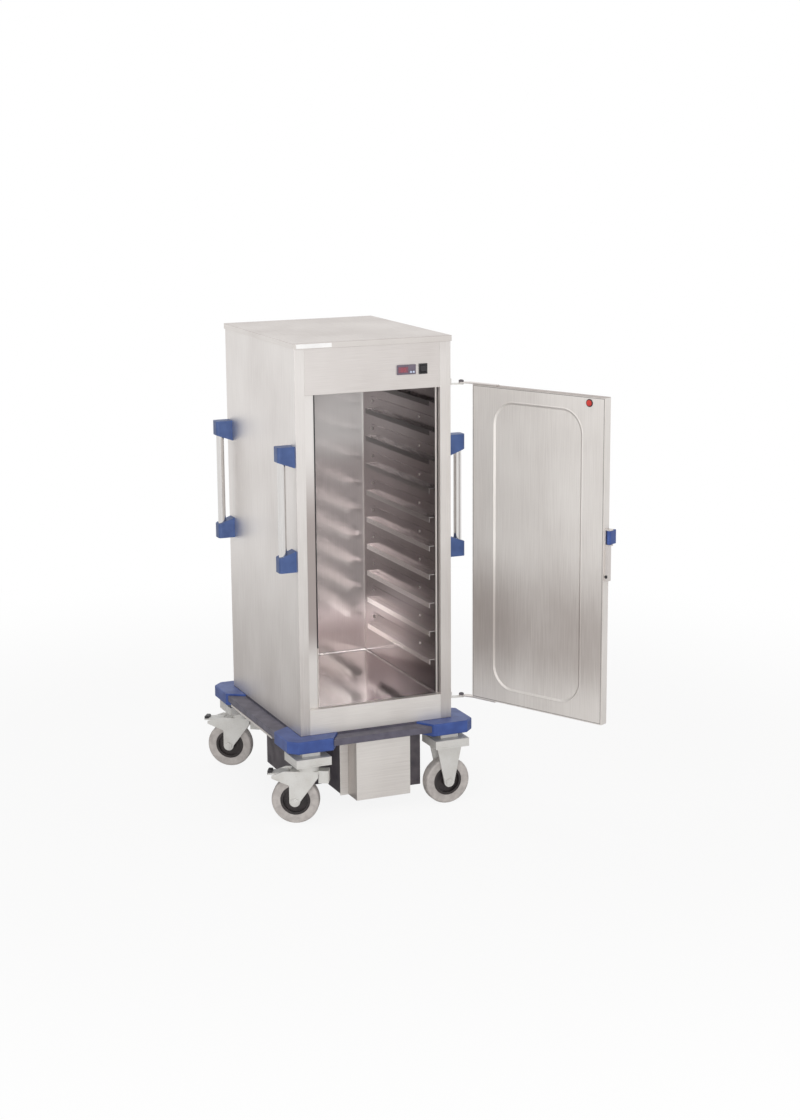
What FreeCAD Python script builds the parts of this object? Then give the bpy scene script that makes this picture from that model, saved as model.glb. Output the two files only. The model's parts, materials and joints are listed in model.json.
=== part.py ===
import FreeCAD, Part
import os
import Sketcher
from FreeCAD import Rotation, Vector
from types import SimpleNamespace

# Heated holding cabinet on castors, with its door standing open.
# Millimetres, +Z up, front towards -Y. The origin is on the floor under the cabinet's centre.

driving_sizes = {
    # castors and the deck that they carry
    "wheel_radius": 75, "tyre_width": 40, "rim_radius": 47, "hub_radius": 18, "hub_width": 48,
    "axle_radius": 6, "running_gap": 0.05, "castor_height": 200, "castor_plate": 5,
    "plate_length": 116, "plate_width": 110, "fork_skin": 6, "fork_gap": 50, "trail": 40,
    "crown_drop": 27, "crown_skin": 10, "head_radius": 34, "kingpin_radius": 6, "nut_radius": 10,
    "nut_height": 8, "seat_gap": 0.3, "boss_radius": 17, "wing_reach": 112, "wing_drop": 16, "wing_tip": 8,
    "wing_root": 46, "bracket_top": 86, "brake_reach": 66, "brake_depth": 40,
    "pedal_reach": 124, "pedal_width": 44, "pedal_pin": 3, "pedal_skin": 4,
    "front_castor_angle": 152, "rear_castor_angle": 146,
    "castor_inset_side": 21, "front_castor_lead": 2, "rear_castor_inset": 12,
    "pad_height": 22, "pad_skin": 3, "riser_height": 18, "riser_side": 60,
    "deck_height": 40, "deck_skin": 2,
    "bumper_reach": 58, "bumper_arm": 122, "bumper_slant": 37, "bumper_chamfer": 28, "bumper_edge": 5,
    "skirt_reach": 52, "skirt_height": 22, "skirt_drop": 6, "joint_gap": 0.4,
    # cabinet skins and chamber
    "cabinet_width": 512, "cabinet_depth": 640, "cabinet_height": 1220, "skin": 1.5, "liner_skin": 1.2,
    "post_left": 31, "post_right": 36, "header_height": 158, "sill_height": 80, "recess": 20,
    "duct_wall": 66, "right_wall": 41, "back_wall": 20, "floor_drop": 2,
    "cover_lip": 18, "cover_reach": 3, "wool_gap": 0.5,
    "duct_hole_length": 120, "air_slot_length": 200, "air_slot_height": 10, "air_slot_rise": 56,
    # tray rails
    "rail_count": 10, "rail_head": 44, "first_rail": 112, "rail_ledge": 22, "rail_flange": 38,
    "rail_lip": 17, "rail_inset": 4, "left_setback": 60, "right_setback": 75, "screw_rise": 24,
    "screw_radius": 4, "screw_head": 2.5, "screw_front": 120, "screw_rear": 12,
    # controls on the header
    "control_rise": 60, "thermostat_place": 107, "thermostat_width": 62, "thermostat_height": 30,
    "bezel_proud": 4, "bezel_rim": 3.5, "thermostat_depth": 50, "window_width": 32, "window_height": 18,
    "window_proud": 1, "key_side": 6, "key_pitch": 9, "key_proud": 1.6, "key_travel": 0.8, "key_gap": 0.3,
    "rocker_place": 163, "rocker_width": 28, "rocker_height": 32, "rocker_rim": 3, "rocker_proud": 2.5,
    "rocker_depth": 24, "rocker_pin": 2, "rocker_tilt": 8, "rocker_crest": 3, "rocker_dish": 2,
    # heating unit under the deck
    "unit_clearance": 50, "box_place": 14, "box_width": 184, "box_front": 15, "box_depth": 70,
    "flange_reach": 28, "tub_skin": 2, "neck_left": 100, "neck_right": 172, "neck_length": 133,
    "tub_half": 200, "tub_length": 288, "window_margin": 12,
    "element_place": 70, "element_half": 45, "element_radius": 5, "element_length": 170,
    "element_rise": 50, "saddle_skin": 4,
    "fan_place": 110, "fan_radius": 68, "motor_radius": 38, "motor_height": 60, "shaft_radius": 4,
    "blade_count": 12, "blade_height": 38, "blade_skin": 2.5, "disc_skin": 3, "fan_hub": 14,
    "gland_place": 60, "gland_radius": 13, "gland_length": 26,
    "gland_bore": 5, "gland_rise": 100, "gland_lip": 2,
    # push handles
    "handle_reach": 55, "handle_width": 42, "handle_inset": 10, "handle_rise": 520, "handle_length": 388,
    "bracket_wall": 66, "bracket_nose": 46, "bracket_round": 10, "tube_radius": 12.5, "tube_skin": 1.5,
    "tube_reach": 37, "socket_depth": 28,
    # door, hinges and latch
    "door_lap_left": 23, "door_lap_right": 29, "door_lap_low": 10, "door_lap_top": 8,
    "door_thick": 28, "door_gap": 2, "door_skin": 1.2, "door_angle": 116.4, "hinge_reach": 36,
    "field_side": 82, "field_low": 46, "field_top": 44, "field_round": 75, "field_depth": 3,
    "arm_skin": 4, "arm_length": 90, "arm_width": 18, "pin_radius": 4, "eye_radius": 8,
    "tab_skin": 3, "tab_height": 20, "tab_width": 30, "pin_over": 6,
    "latch_rise": 448, "latch_height": 108, "grip_height": 43, "latch_plate": 3, "latch_bar": 9,
    "latch_width": 18, "lug_skin": 4, "lug_reach": 16, "latch_pin": 3, "grip_barrel": 5.5, "grip_reach": 27,
    "magnet_place": 440, "magnet_drop": 20, "magnet_radius": 9, "magnet_proud": 3.5,
}


class Size:
    # A length that knows both its value and the sheet expression it comes from
    def __init__(self, value, text):
        self.value = value
        self.text = text

    def __add__(self, other):
        return joined(self, "+", other, self.value + plain(other))

    def __radd__(self, other):
        return joined(other, "+", self, plain(other) + self.value)

    def __sub__(self, other):
        return joined(self, "-", other, self.value - plain(other))

    def __rsub__(self, other):
        return joined(other, "-", self, plain(other) - self.value)

    def __mul__(self, other):
        return joined(self, "*", other, self.value * plain(other))

    def __rmul__(self, other):
        return joined(other, "*", self, plain(other) * self.value)

    def __truediv__(self, other):
        return joined(self, "/", other, self.value / plain(other))

    def __neg__(self):
        return joined(0, "-", self, -self.value)


def plain(size):
    return size.value if isinstance(size, Size) else size


def words(size):
    return size.text if isinstance(size, Size) else repr(float(size))


def joined(left, sign, right, value):
    return Size(value, "(%s %s %s)" % (words(left), sign, words(right)))


doc = FreeCAD.newDocument("heated_holding_cabinet")


def write_sheet():
    sheet = doc.addObject("Spreadsheet::Sheet", "Dimensions")
    sizes = {}
    for row, (alias, value) in enumerate(driving_sizes.items(), start=1):
        sheet.set("A%d" % row, alias)
        sheet.set("B%d" % row, str(value))
        sheet.setAlias("B%d" % row, alias)
        sizes[alias] = Size(value, "Dimensions." + alias)
    doc.recompute()
    return SimpleNamespace(**sizes)


d = write_sheet()

# Places that several pieces share
half = d.cabinet_width / 2
back = d.cabinet_depth / 2
front = -back
deck_low = d.castor_height + d.pad_height + d.riser_height
deck_top = deck_low + d.deck_height
cabinet_top = deck_top + d.cabinet_height
panel_top = cabinet_top - d.skin
opening_left = d.post_left - half
opening_right = half - d.post_right
sill_top = deck_top + d.sill_height
header_low = cabinet_top - d.header_height
chamber_left = d.duct_wall - half
chamber_right = half - d.right_wall
chamber_front = front + d.recess
chamber_back = back - d.back_wall
floor = sill_top - d.floor_drop
ceiling = header_low + d.skin
first_ledge = floor + d.first_rail
rail_pitch = (header_low - d.rail_head - first_ledge) / (d.rail_count - 1)
castor_side = half - d.castor_inset_side
castor_along = {-1: front - d.front_castor_lead, 1: back - d.rear_castor_inset}
plate_low = d.castor_height - d.castor_plate
fork_half = d.fork_gap / 2
fork_width = d.fork_gap + 2 * d.fork_skin
control_level = header_low + d.control_rise
box_back = front - d.box_front + d.box_depth
neck_front = box_back + d.skin
tub_front = neck_front + d.neck_length
tub_back = tub_front + d.tub_length
tub_floor = d.unit_clearance + d.tub_skin
pivot = half + d.hinge_reach
door_low = sill_top - d.door_lap_low
door_top = header_low + d.door_lap_top
door_height = door_top - door_low
handle_low = deck_top + d.handle_rise
handle_high = handle_low + d.handle_length
latch_low = door_low + d.latch_rise
door_inner = -d.door_gap
door_outer = door_inner - d.door_thick
hinge_edge = opening_right + d.door_lap_right - pivot
free_edge = opening_left - d.door_lap_left - pivot


def bind(thing, name, size):
    thing.setExpression(name, words(size))


def place(thing, x=0, y=0, z=0, turn=0):
    for name, size in (("Base.x", x), ("Base.y", y), ("Base.z", z), ("Rotation.Angle", turn)):
        bind(thing, "Placement." + name, size)
    return thing


# Primitives and booleans
def box(name, low, high):
    block = doc.addObject("Part::Box", name)
    for side, axis, start, end in zip(("Length", "Width", "Height"), "xyz", low, high):
        bind(block, side, end - start)
        bind(block, "Placement.Base." + axis, start)
    return block


turns = {"x": Rotation(Vector(0, 1, 0), 90), "y": Rotation(Vector(1, 0, 0), -90), "z": Rotation()}


def rod(name, radius, start, length, axis="z"):
    bar = doc.addObject("Part::Cylinder", name)
    bar.Placement.Rotation = turns[axis]
    bind(bar, "Radius", radius)
    bind(bar, "Height", length)
    for letter, size in zip("xyz", start):
        bind(bar, "Placement.Base." + letter, size)
    return bar


def fuse(name, *pieces):
    result = doc.addObject("Part::MultiFuse", name)
    result.Shapes = list(pieces)
    result.Refine = True
    return result


def cut(name, base, *tools):
    result = doc.addObject("Part::Cut", name)
    result.Base = base
    result.Tool = tools[0] if len(tools) == 1 else fuse(name + "_cuts", *tools)
    return result


def group(name, pieces):
    result = doc.addObject("Part::Compound", name)
    result.Links = list(pieces)
    return result


# Sketched bodies
def new_body(name):
    return doc.addObject("PartDesign::Body", name)


def attached(body, plane, shift):
    sketch = body.newObject("Sketcher::SketchObject", body.Name + "_sketch")
    support = [face for face in body.Origin.OriginFeatures if face.Role == plane + "_Plane"]
    sketch.AttachmentSupport = [(support[0], "")]
    sketch.MapMode = "FlatFace"
    for axis, size in zip("xyz", shift):
        bind(sketch, "AttachmentOffset.Base." + axis, size)
    return sketch


def pin_point(sketch, geometry, end, point, tag):
    for kind, size in zip(("DistanceX", "DistanceY"), point):
        index = sketch.addConstraint(Sketcher.Constraint(kind, -1, 1, geometry, end, plain(size)))
        sketch.renameConstraint(index, "%s_%s" % (kind, tag))
        bind(sketch, "Constraints.%s_%s" % (kind, tag), size)


def outline(body, plane, points, shift=(0, 0, 0)):
    sketch = attached(body, plane, shift)
    corners = [Vector(plain(across), plain(up), 0) for across, up in points]
    for start, end in zip(corners, corners[1:] + corners[:1]):
        sketch.addGeometry(Part.LineSegment(start, end))
    for index, point in enumerate(points):
        after = (index + 1) % len(points)
        sketch.addConstraint(Sketcher.Constraint("Coincident", index, 2, after, 1))
        pin_point(sketch, index, 1, point, str(index))
    return sketch


def circle(body, plane, centre, radius, shift=(0, 0, 0)):
    sketch = attached(body, plane, shift)
    middle = Vector(plain(centre[0]), plain(centre[1]), 0)
    sketch.addGeometry(Part.Circle(middle, Vector(0, 0, 1), plain(radius)))
    pin_point(sketch, 0, 3, centre, "centre")
    index = sketch.addConstraint(Sketcher.Constraint("Radius", 0, plain(radius)))
    sketch.renameConstraint(index, "radius")
    bind(sketch, "Constraints.radius", radius)
    return sketch


def rounded(body, plane, low, high, radius, shift=(0, 0, 0)):
    # A rectangle with round corners: four sides, then the four arcs that join them
    sketch = attached(body, plane, shift)
    left, bottom, right, top, bend = [plain(size) for size in (*low, *high, radius)]
    ends = [(left + bend, bottom, right - bend, bottom), (right, bottom + bend, right, top - bend),
            (right - bend, top, left + bend, top), (left, top - bend, left, bottom + bend)]
    for x_start, y_start, x_end, y_end in ends:
        sketch.addGeometry(Part.LineSegment(Vector(x_start, y_start, 0), Vector(x_end, y_end, 0)))
    centres = [(right - bend, bottom + bend), (right - bend, top - bend),
               (left + bend, top - bend), (left + bend, bottom + bend)]
    quarter = 1.5707963267948966
    for index, (x, y) in enumerate(centres):
        ring = Part.Circle(Vector(x, y, 0), Vector(0, 0, 1), bend)
        sketch.addGeometry(Part.ArcOfCircle(ring, (index - 1) * quarter, index * quarter))
    for index in range(4):
        sketch.addConstraint(Sketcher.Constraint("Tangent", index, 2, 4 + index, 1))
        sketch.addConstraint(Sketcher.Constraint("Tangent", 4 + index, 2, (index + 1) % 4, 1))
        level = "Horizontal" if index % 2 == 0 else "Vertical"
        sketch.addConstraint(Sketcher.Constraint(level, index))
        if index:
            sketch.addConstraint(Sketcher.Constraint("Equal", 4, 4 + index))
    measures = [("DistanceY", 0, low[1]), ("DistanceX", 1, high[0]),
                ("DistanceY", 2, high[1]), ("DistanceX", 3, low[0])]
    for kind, side, size in measures:
        index = sketch.addConstraint(Sketcher.Constraint(kind, -1, 1, side, 1, plain(size)))
        sketch.renameConstraint(index, "side%d" % side)
        bind(sketch, "Constraints.side%d" % side, size)
    index = sketch.addConstraint(Sketcher.Constraint("Radius", 4, bend))
    sketch.renameConstraint(index, "radius")
    bind(sketch, "Constraints.radius", radius)
    return sketch


def feature(body, kind, sketch, length, both=False, flip=False):
    step = body.newObject("PartDesign::" + kind, body.Name + "_" + kind.lower())
    step.Profile = sketch
    bind(step, "Length", length)
    step.SideType = "Symmetric" if both else "One side"
    step.Reversed = flip
    doc.recompute()
    return step


def pad(body, sketch, length, both=False, flip=False):
    return feature(body, "Pad", sketch, length, both, flip)


def pocket(body, sketch, length, both=False, flip=False):
    before = body.Shape.Volume
    step = feature(body, "Pocket", sketch, length, both, flip)
    if body.Shape.Volume > before - 0.01:
        raise RuntimeError("a pocket of %s cuts nothing" % body.Name)
    return step


def spin(body, points, shift):
    # A solid of revolution about its sketch's upright axis: points are (radius, along)
    sketch = outline(body, "XY", points, shift)
    turned = body.newObject("PartDesign::Revolution", body.Name + "_spin")
    turned.Profile = sketch
    turned.ReferenceAxis = (sketch, ["V_Axis"])
    turned.Angle = 360
    doc.recompute()
    return turned


def repeat(body, step, axis, count, pitch):
    rows = body.newObject("PartDesign::LinearPattern", body.Name + "_rows")
    rows.Originals = [step]
    line = [item for item in body.Origin.OriginFeatures if item.Role == axis + "_Axis"]
    rows.Direction = (line[0], [""])
    rows.Mode = "Spacing"
    bind(rows, "Occurrences", count)
    bind(rows, "Offset", pitch)
    body.AllowCompound = True
    body.Tip = rows
    doc.recompute()
    return rows


def rounded_edges(body, step, wanted, radius):
    names = []
    for index, edge in enumerate(step.Shape.Edges, start=1):
        if wanted(edge):
            names.append("Edge%d" % index)
    bend = body.newObject("PartDesign::Fillet", body.Name + "_round")
    bend.Base = (step, names)
    bind(bend, "Radius", radius)
    doc.recompute()
    return bend


def rectangle(low, high):
    return [low, (high[0], low[1]), high, (low[0], high[1])]


# Cabinet skins
def side_panel(name, side, post):
    # Side sheet that wraps the front as a corner post and turns in to the door recess
    outer = side * half
    edge = outer - side * post
    inner = outer - side * d.skin
    body = new_body(name)
    points = [(outer, front), (edge, front), (edge, chamber_front), (edge + side * d.skin, chamber_front),
              (edge + side * d.skin, front + d.skin), (inner, front + d.skin), (inner, back), (outer, back)]
    pad(body, outline(body, "XY", points), panel_top - deck_top)
    return place(body, z=deck_top)


def back_panel():
    low = (d.skin - half, back - d.skin, deck_top)
    return box("back_panel", low, (half - d.skin, back, panel_top))


def top_cover():
    reach = half + d.cover_reach
    depth = back + d.cover_reach
    lip = cabinet_top - d.cover_lip
    outer = box("cover_block", (-reach, -depth, lip), (reach, depth, cabinet_top))
    inner = box("cover_hollow", (d.skin - reach, d.skin - depth, lip),
                (reach - d.skin, depth - d.skin, panel_top))
    return cut("top_cover", outer, inner)


def header_panel():
    face = box("header_face", (opening_left, front, header_low), (opening_right, front + d.skin, panel_top))
    fold = box("header_fold", (opening_left, front, header_low),
               (opening_right, chamber_front, header_low + d.skin))
    hole = thermostat_span(d.bezel_rim - d.joint_gap)
    screen = box("thermostat_hole", (hole[0], front, hole[1]), (hole[2], front + d.skin, hole[3]))
    hole = rocker_span(d.rocker_rim - d.joint_gap)
    switch = box("rocker_hole", (hole[0], front, hole[1]), (hole[2], front + d.skin, hole[3]))
    return cut("header_panel", fuse("header_sheet", face, fold), screen, switch)


def sill_panel():
    face = box("sill_face", (opening_left, front, deck_top), (opening_right, front + d.skin, sill_top))
    fold = box("sill_fold", (opening_left, front, sill_top - d.skin),
               (opening_right, chamber_front, sill_top))
    return fuse("sill_panel", face, fold)


# Chamber lining
def liner_wrap():
    # Left, back and right walls from one sheet, with a flange each side behind the door recess
    skin = d.liner_skin
    body = new_body("liner_sheet")
    left_end = opening_left - d.skin
    right_end = opening_right + d.skin
    points = [(left_end, chamber_front), (chamber_left, chamber_front), (chamber_left, chamber_back),
              (chamber_right, chamber_back), (chamber_right, chamber_front), (right_end, chamber_front),
              (right_end, chamber_front + skin), (chamber_right + skin, chamber_front + skin),
              (chamber_right + skin, chamber_back + skin), (chamber_left - skin, chamber_back + skin),
              (chamber_left - skin, chamber_front + skin), (left_end, chamber_front + skin)]
    pad(body, outline(body, "XY", points), ceiling - floor)
    place(body, z=floor)
    slots = []
    for row in range(driving_sizes["rail_count"] - 1):
        low = first_ledge + row * rail_pitch + d.air_slot_rise
        slots.append(box("air_slot_%d" % row, (chamber_left - skin, -d.air_slot_length / 2, low),
                         (chamber_left, d.air_slot_length / 2, low + d.air_slot_height)))
    return cut("liner_wrap", body, *slots)


def liner_ceiling():
    low = (opening_left - d.skin, chamber_front, ceiling)
    high = (opening_right + d.skin, chamber_back + d.liner_skin, ceiling + d.liner_skin)
    return box("liner_ceiling", low, high)


def duct_hole(name, level, skin):
    # The left wall's air duct, through a level sheet
    reach = d.duct_hole_length / 2
    return box(name, (opening_left, -reach, level - skin), (chamber_left - d.liner_skin, reach, level))


def floor_pan():
    plate = box("floor_plate", (opening_left - d.skin, chamber_front, floor - d.liner_skin),
                (opening_right + d.skin, chamber_back + d.liner_skin, floor))
    rise = box("floor_upstand", (chamber_left, chamber_front, floor - d.liner_skin),
               (chamber_right, chamber_front + d.liner_skin, sill_top))
    whole = fuse("floor_sheet", plate, rise)
    return cut("floor_pan", whole, duct_hole("floor_duct", floor, d.liner_skin))


def insulation():
    # Mineral wool behind the skins: it leaves the left wall's air duct open
    gap = d.wool_gap
    low = deck_top + gap
    high = ceiling + d.liner_skin
    inner_front = chamber_front + d.liner_skin + gap
    inner_back = chamber_back + d.liner_skin
    wool_back = back - d.skin - gap
    left = box("wool_left", (d.skin + gap - half, inner_front, low),
               (opening_left - d.skin - gap, wool_back, high))
    right = box("wool_right", (opening_right + d.skin + gap, inner_front, low),
                (half - d.skin - gap, wool_back, high))
    rear = box("wool_rear", (chamber_left, inner_back + gap, low), (chamber_right, wool_back, high))
    over = box("wool_top", (d.skin + gap - half, front + d.skin + d.thermostat_depth + gap, high + gap),
               (half - d.skin - gap, wool_back, panel_top - gap))
    return group("insulation", [left, right, rear, over])


# Tray rails: a flange on the wall, a ledge for the tray and a lip turned down
def rail_start(side):
    start = chamber_front + d.liner_skin + d.rail_inset
    return start + d.left_setback if side > 0 else start


def rail_end(side):
    end = chamber_back - d.rail_inset
    return end if side > 0 else end - d.right_setback


def tray_rails(name, wall, side):
    body = new_body(name)
    skin = d.skin
    points = [(wall, -skin), (wall, d.rail_flange), (wall + side * skin, d.rail_flange),
              (wall + side * skin, 0), (wall + side * d.rail_ledge, 0),
              (wall + side * d.rail_ledge, -d.rail_lip), (wall + side * (d.rail_ledge - skin), -d.rail_lip),
              (wall + side * (d.rail_ledge - skin), -skin)]
    start = rail_start(side)
    length = rail_end(side) - start
    step = pad(body, outline(body, "XZ", points, (0, 0, -start)), length, flip=True)
    repeat(body, step, "Z", d.rail_count, rail_pitch)
    return place(body, z=first_ledge)


def rail_screws():
    columns = []
    for name, wall, side in (("left", chamber_left, 1), ("right", chamber_right, -1)):
        places = {"front": rail_start(side) + d.screw_front, "rear": rail_end(side) - d.screw_rear}
        for spot, along in places.items():
            body = new_body("screws_%s_%s" % (name, spot))
            sheet = circle(body, "YZ", (along, d.screw_rise), d.screw_radius, (0, 0, wall + side * d.skin))
            step = pad(body, sheet, d.screw_head, flip=side < 0)
            repeat(body, step, "Z", d.rail_count, rail_pitch)
            columns.append(place(body, z=first_ledge))
    return group("rail_screws", columns)


# Controls
def thermostat_span(rim):
    across = d.thermostat_width / 2 - rim
    up = d.thermostat_height / 2 - rim
    middle = d.thermostat_place
    return (middle - across, control_level - up, middle + across, control_level + up)


def rocker_span(rim):
    across = d.rocker_width / 2 - rim
    up = d.rocker_height / 2 - rim
    return (d.rocker_place - across, control_level - up, d.rocker_place + across, control_level + up)


def key_places():
    middle = d.thermostat_place + d.thermostat_width / 2 - d.bezel_rim - d.key_pitch
    level = control_level - d.thermostat_height / 4
    return [("key_down", middle - d.key_pitch / 2, level), ("key_up", middle + d.key_pitch / 2, level)]


def thermostat_body():
    face = thermostat_span(0)
    bezel = box("thermostat_bezel", (face[0], front - d.bezel_proud, face[1]), (face[2], front, face[3]))
    body = thermostat_span(d.bezel_rim)
    case = box("thermostat_case", (body[0], front, body[1]), (body[2], front + d.thermostat_depth, body[3]))
    wells = []
    reach = d.key_side / 2 + d.key_gap
    for name, across, up in key_places():
        wells.append(box(name + "_well", (across - reach, front - d.bezel_proud, up - reach),
                         (across + reach, front, up + reach)))
    return cut("thermostat_body", fuse("thermostat_block", bezel, case), *wells)


def display_window():
    face = front - d.bezel_proud
    left = d.thermostat_place - d.thermostat_width / 2 + d.bezel_rim
    low = control_level - d.window_height / 2
    return box("display_window", (left, face - d.window_proud, low),
               (left + d.window_width, face, low + d.window_height))


def key(name, across, up):
    reach = d.key_side / 2
    face = front - d.bezel_proud - d.key_proud
    return box(name, (across - reach, face, up - reach),
               (across + reach, front - d.key_travel - d.key_gap, up + reach))


def rocker_frame():
    face = rocker_span(0)
    rim = box("rocker_rim_block", (face[0], front - d.rocker_proud, face[1]), (face[2], front, face[3]))
    inside = rocker_span(d.rocker_rim)
    case = box("rocker_case", (inside[0], front, inside[1]), (inside[2], front + d.rocker_depth, inside[3]))
    hollow = rocker_span(d.rocker_rim + d.skin)
    well = box("rocker_well", (hollow[0], front - d.rocker_proud, hollow[1]),
               (hollow[2], front + d.rocker_depth - d.skin, hollow[3]))
    pin_hole = rod("rocker_pin_hole", d.rocker_pin + d.running_gap,
                   (inside[0], front + d.rocker_pin, control_level), d.rocker_width - 2 * d.rocker_rim, "x")
    return cut("rocker_frame", fuse("rocker_block", rim, case), well, pin_hole)


def power_rocker():
    # Two facets that meet over the pivot, with a stub each side
    body = new_body("power_rocker")
    wide = d.rocker_width - 2 * (d.rocker_rim + d.skin + d.key_gap)
    up = d.rocker_height / 2 - d.rocker_rim - d.skin - d.rocker_dish
    crest = -d.rocker_proud - d.rocker_crest
    tip = crest - d.rocker_dish
    points = [(tip, -up), (crest, 0), (tip, up),
              (d.rocker_pin * 2, up * 0.6), (d.rocker_pin * 2, -up * 0.6)]
    pad(body, outline(body, "YZ", points), wide, both=True)
    pad(body, circle(body, "YZ", (0, 0), d.rocker_pin), d.rocker_width - 2 * d.rocker_rim, both=True)
    body.Placement.Rotation = turns["x"]
    place(body, d.rocker_place, front + d.rocker_pin, control_level, -d.rocker_tilt)
    bind(body, "Placement.Rotation.Axis.x", 1)
    bind(body, "Placement.Rotation.Axis.y", 0)
    bind(body, "Placement.Rotation.Axis.z", 0)
    return body


# Deck, bumpers and skirts
def base_deck():
    # Folded tray under the cabinet, open below to the heating unit and above to the air duct
    skin = d.deck_skin
    block = box("deck_block", (-half, front, deck_low), (half, back, deck_top))
    hollow = box("deck_hollow", (skin - half, front + skin, deck_low + skin),
                 (half - skin, back - skin, deck_top - skin))
    margin = d.window_margin
    below = box("deck_mouth", (margin - d.tub_half, tub_front + margin, deck_low),
                (d.tub_half - margin, tub_back - margin, deck_low + skin))
    return cut("base_deck", block, hollow, below, duct_hole("deck_duct", deck_top, skin))


def bumper(name, side, end):
    # Corner buffer: two arms with slanted ends and a cut-off corner
    body = new_body(name)
    x, y = side * half, end * back
    far_x, far_y = x + side * d.bumper_reach, y + end * d.bumper_reach
    arm, short, nose = d.bumper_arm, d.bumper_arm - d.bumper_slant, d.bumper_chamfer
    points = [(x, y), (x - side * arm, y), (x - side * short, far_y), (far_x - side * nose, far_y),
              (far_x, far_y - end * nose), (far_x, y - end * short), (x, y - end * arm)]
    step = pad(body, outline(body, "XY", points), d.deck_height)

    def outer_rim(edge):
        ends = [vertex.Point for vertex in edge.Vertexes]
        level = abs(ends[0].z - ends[1].z) < 0.01
        clear = all(abs(point.x) > plain(half) + 1 or abs(point.y) > plain(back) + 1 for point in ends)
        return level and clear

    rounded_edges(body, step, outer_rim, d.bumper_edge)
    return place(body, z=deck_low)


def deck_skirts():
    low = deck_top - d.skirt_drop - d.skirt_height
    slope = d.bumper_slant * d.skirt_reach / d.bumper_reach
    pieces = []
    for name, half_run, wall, swap in (("end", half, back, False), ("side", back, half, True)):
        for sign in (-1, 1):
            inner = half_run - d.bumper_arm - d.joint_gap
            outer = inner + slope
            far = sign * (wall + d.skirt_reach)
            points = [(-inner, sign * wall), (inner, sign * wall), (outer, far), (-outer, far)]
            if swap:
                points = [(across, along) for along, across in points]
            body = new_body("skirt_%s_%d" % (name, sign + 1))
            pad(body, outline(body, "XY", points), d.skirt_height)
            pieces.append(place(body, z=low))
    return group("deck_skirts", pieces)


# Castors
def castor_spots():
    return [("front_left", -1, -1), ("rear_left", -1, 1), ("front_right", 1, -1), ("rear_right", 1, 1)]


def castor_mounts():
    pieces = []
    pad_top = d.castor_height + d.pad_height
    for name, side, end in castor_spots():
        x, y = side * castor_side, castor_along[end]
        long, wide, skin = d.plate_length / 2, d.plate_width / 2, d.pad_skin
        shell = box(name + "_pad_block", (x - long, y - wide, d.castor_height),
                    (x + long, y + wide, pad_top))
        hollow = box(name + "_pad_hollow", (x - long + skin, y - wide + skin, d.castor_height),
                     (x + long - skin, y + wide - skin, pad_top - skin))
        reach = d.riser_side / 2
        riser = box(name + "_riser", (x - reach, y - reach, pad_top), (x + reach, y + reach, deck_low))
        pieces += [cut(name + "_pad", shell, hollow), riser]
    return group("castor_mounts", pieces)


def castor_plate(body):
    long, wide = d.plate_length / 2, d.plate_width / 2
    plate = outline(body, "XY", rectangle((-long, -wide), (long, wide)), (0, 0, plate_low))
    pad(body, plate, d.castor_plate)


def swivel_plates():
    # Top plate with its kingpin and the nut that holds the fork
    pieces = []
    nut_top = plate_low - d.crown_drop - d.crown_skin / 2 - d.seat_gap
    for name, end in (("front", -1), ("rear", 1)):
        body = new_body(name + "_swivel_plate")
        castor_plate(body)
        pad(body, circle(body, "XY", (0, 0), d.kingpin_radius, (0, 0, nut_top)), plate_low - nut_top)
        pad(body, circle(body, "XY", (0, 0), d.nut_radius, (0, 0, nut_top)), d.nut_height, flip=True)
        pieces.append(place(body, -castor_side, castor_along[end]))
    return group("swivel_castor_plates", pieces)


def castor_fork(name, end, turn):
    # Pressed fork: the wheel trails behind the kingpin, the brake pedal hangs on its tail
    body = new_body(name)
    crown_low = plate_low - d.crown_drop - d.crown_skin / 2
    crown_top = crown_low + d.crown_skin
    axle, boss = d.trail, d.boss_radius
    tail = axle + boss
    pin = (tail + d.pedal_skin * 2, crown_low)
    points = [(-d.head_radius, crown_top), (pin[0] + d.pedal_skin * 2, crown_top),
              (d.wing_reach, crown_top - d.wing_drop), (d.wing_reach, crown_top - d.wing_drop - d.wing_tip),
              (tail, crown_top - d.wing_root), (tail, d.wheel_radius), (axle - boss, d.wheel_radius),
              (-d.head_radius, crown_low - d.crown_skin)]
    pad(body, outline(body, "XZ", points), fork_width, both=True)
    pad(body, circle(body, "XZ", (axle, d.wheel_radius), boss), fork_width, both=True)
    gap = rectangle((-2 * d.head_radius, 0), (3 * d.trail, crown_low))
    pocket(body, outline(body, "XZ", gap), d.fork_gap, both=True)
    clear = rectangle((tail - d.pedal_skin, crown_low), (3 * d.trail, crown_top))
    pocket(body, outline(body, "XZ", clear), d.fork_gap, both=True)
    brake = rectangle((-d.brake_reach, crown_top - d.brake_depth), (-d.head_radius, crown_top))
    pad(body, outline(body, "XZ", brake), d.fork_gap - 2 * d.fork_skin, both=True)
    head = circle(body, "XY", (0, 0), d.head_radius, (0, 0, crown_top))
    pad(body, head, plate_low - d.seat_gap - crown_top)
    bore = circle(body, "XY", (0, 0), d.kingpin_radius + d.running_gap, (0, 0, plate_low))
    pocket(body, bore, plate_low - crown_low + d.crown_skin)
    pocket(body, circle(body, "XZ", (axle, d.wheel_radius), d.axle_radius), fork_width * 2, both=True)
    pad(body, circle(body, "XZ", pin, d.pedal_pin), fork_width, both=True)
    return place(body, -castor_side, castor_along[end], 0, turn)


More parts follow.
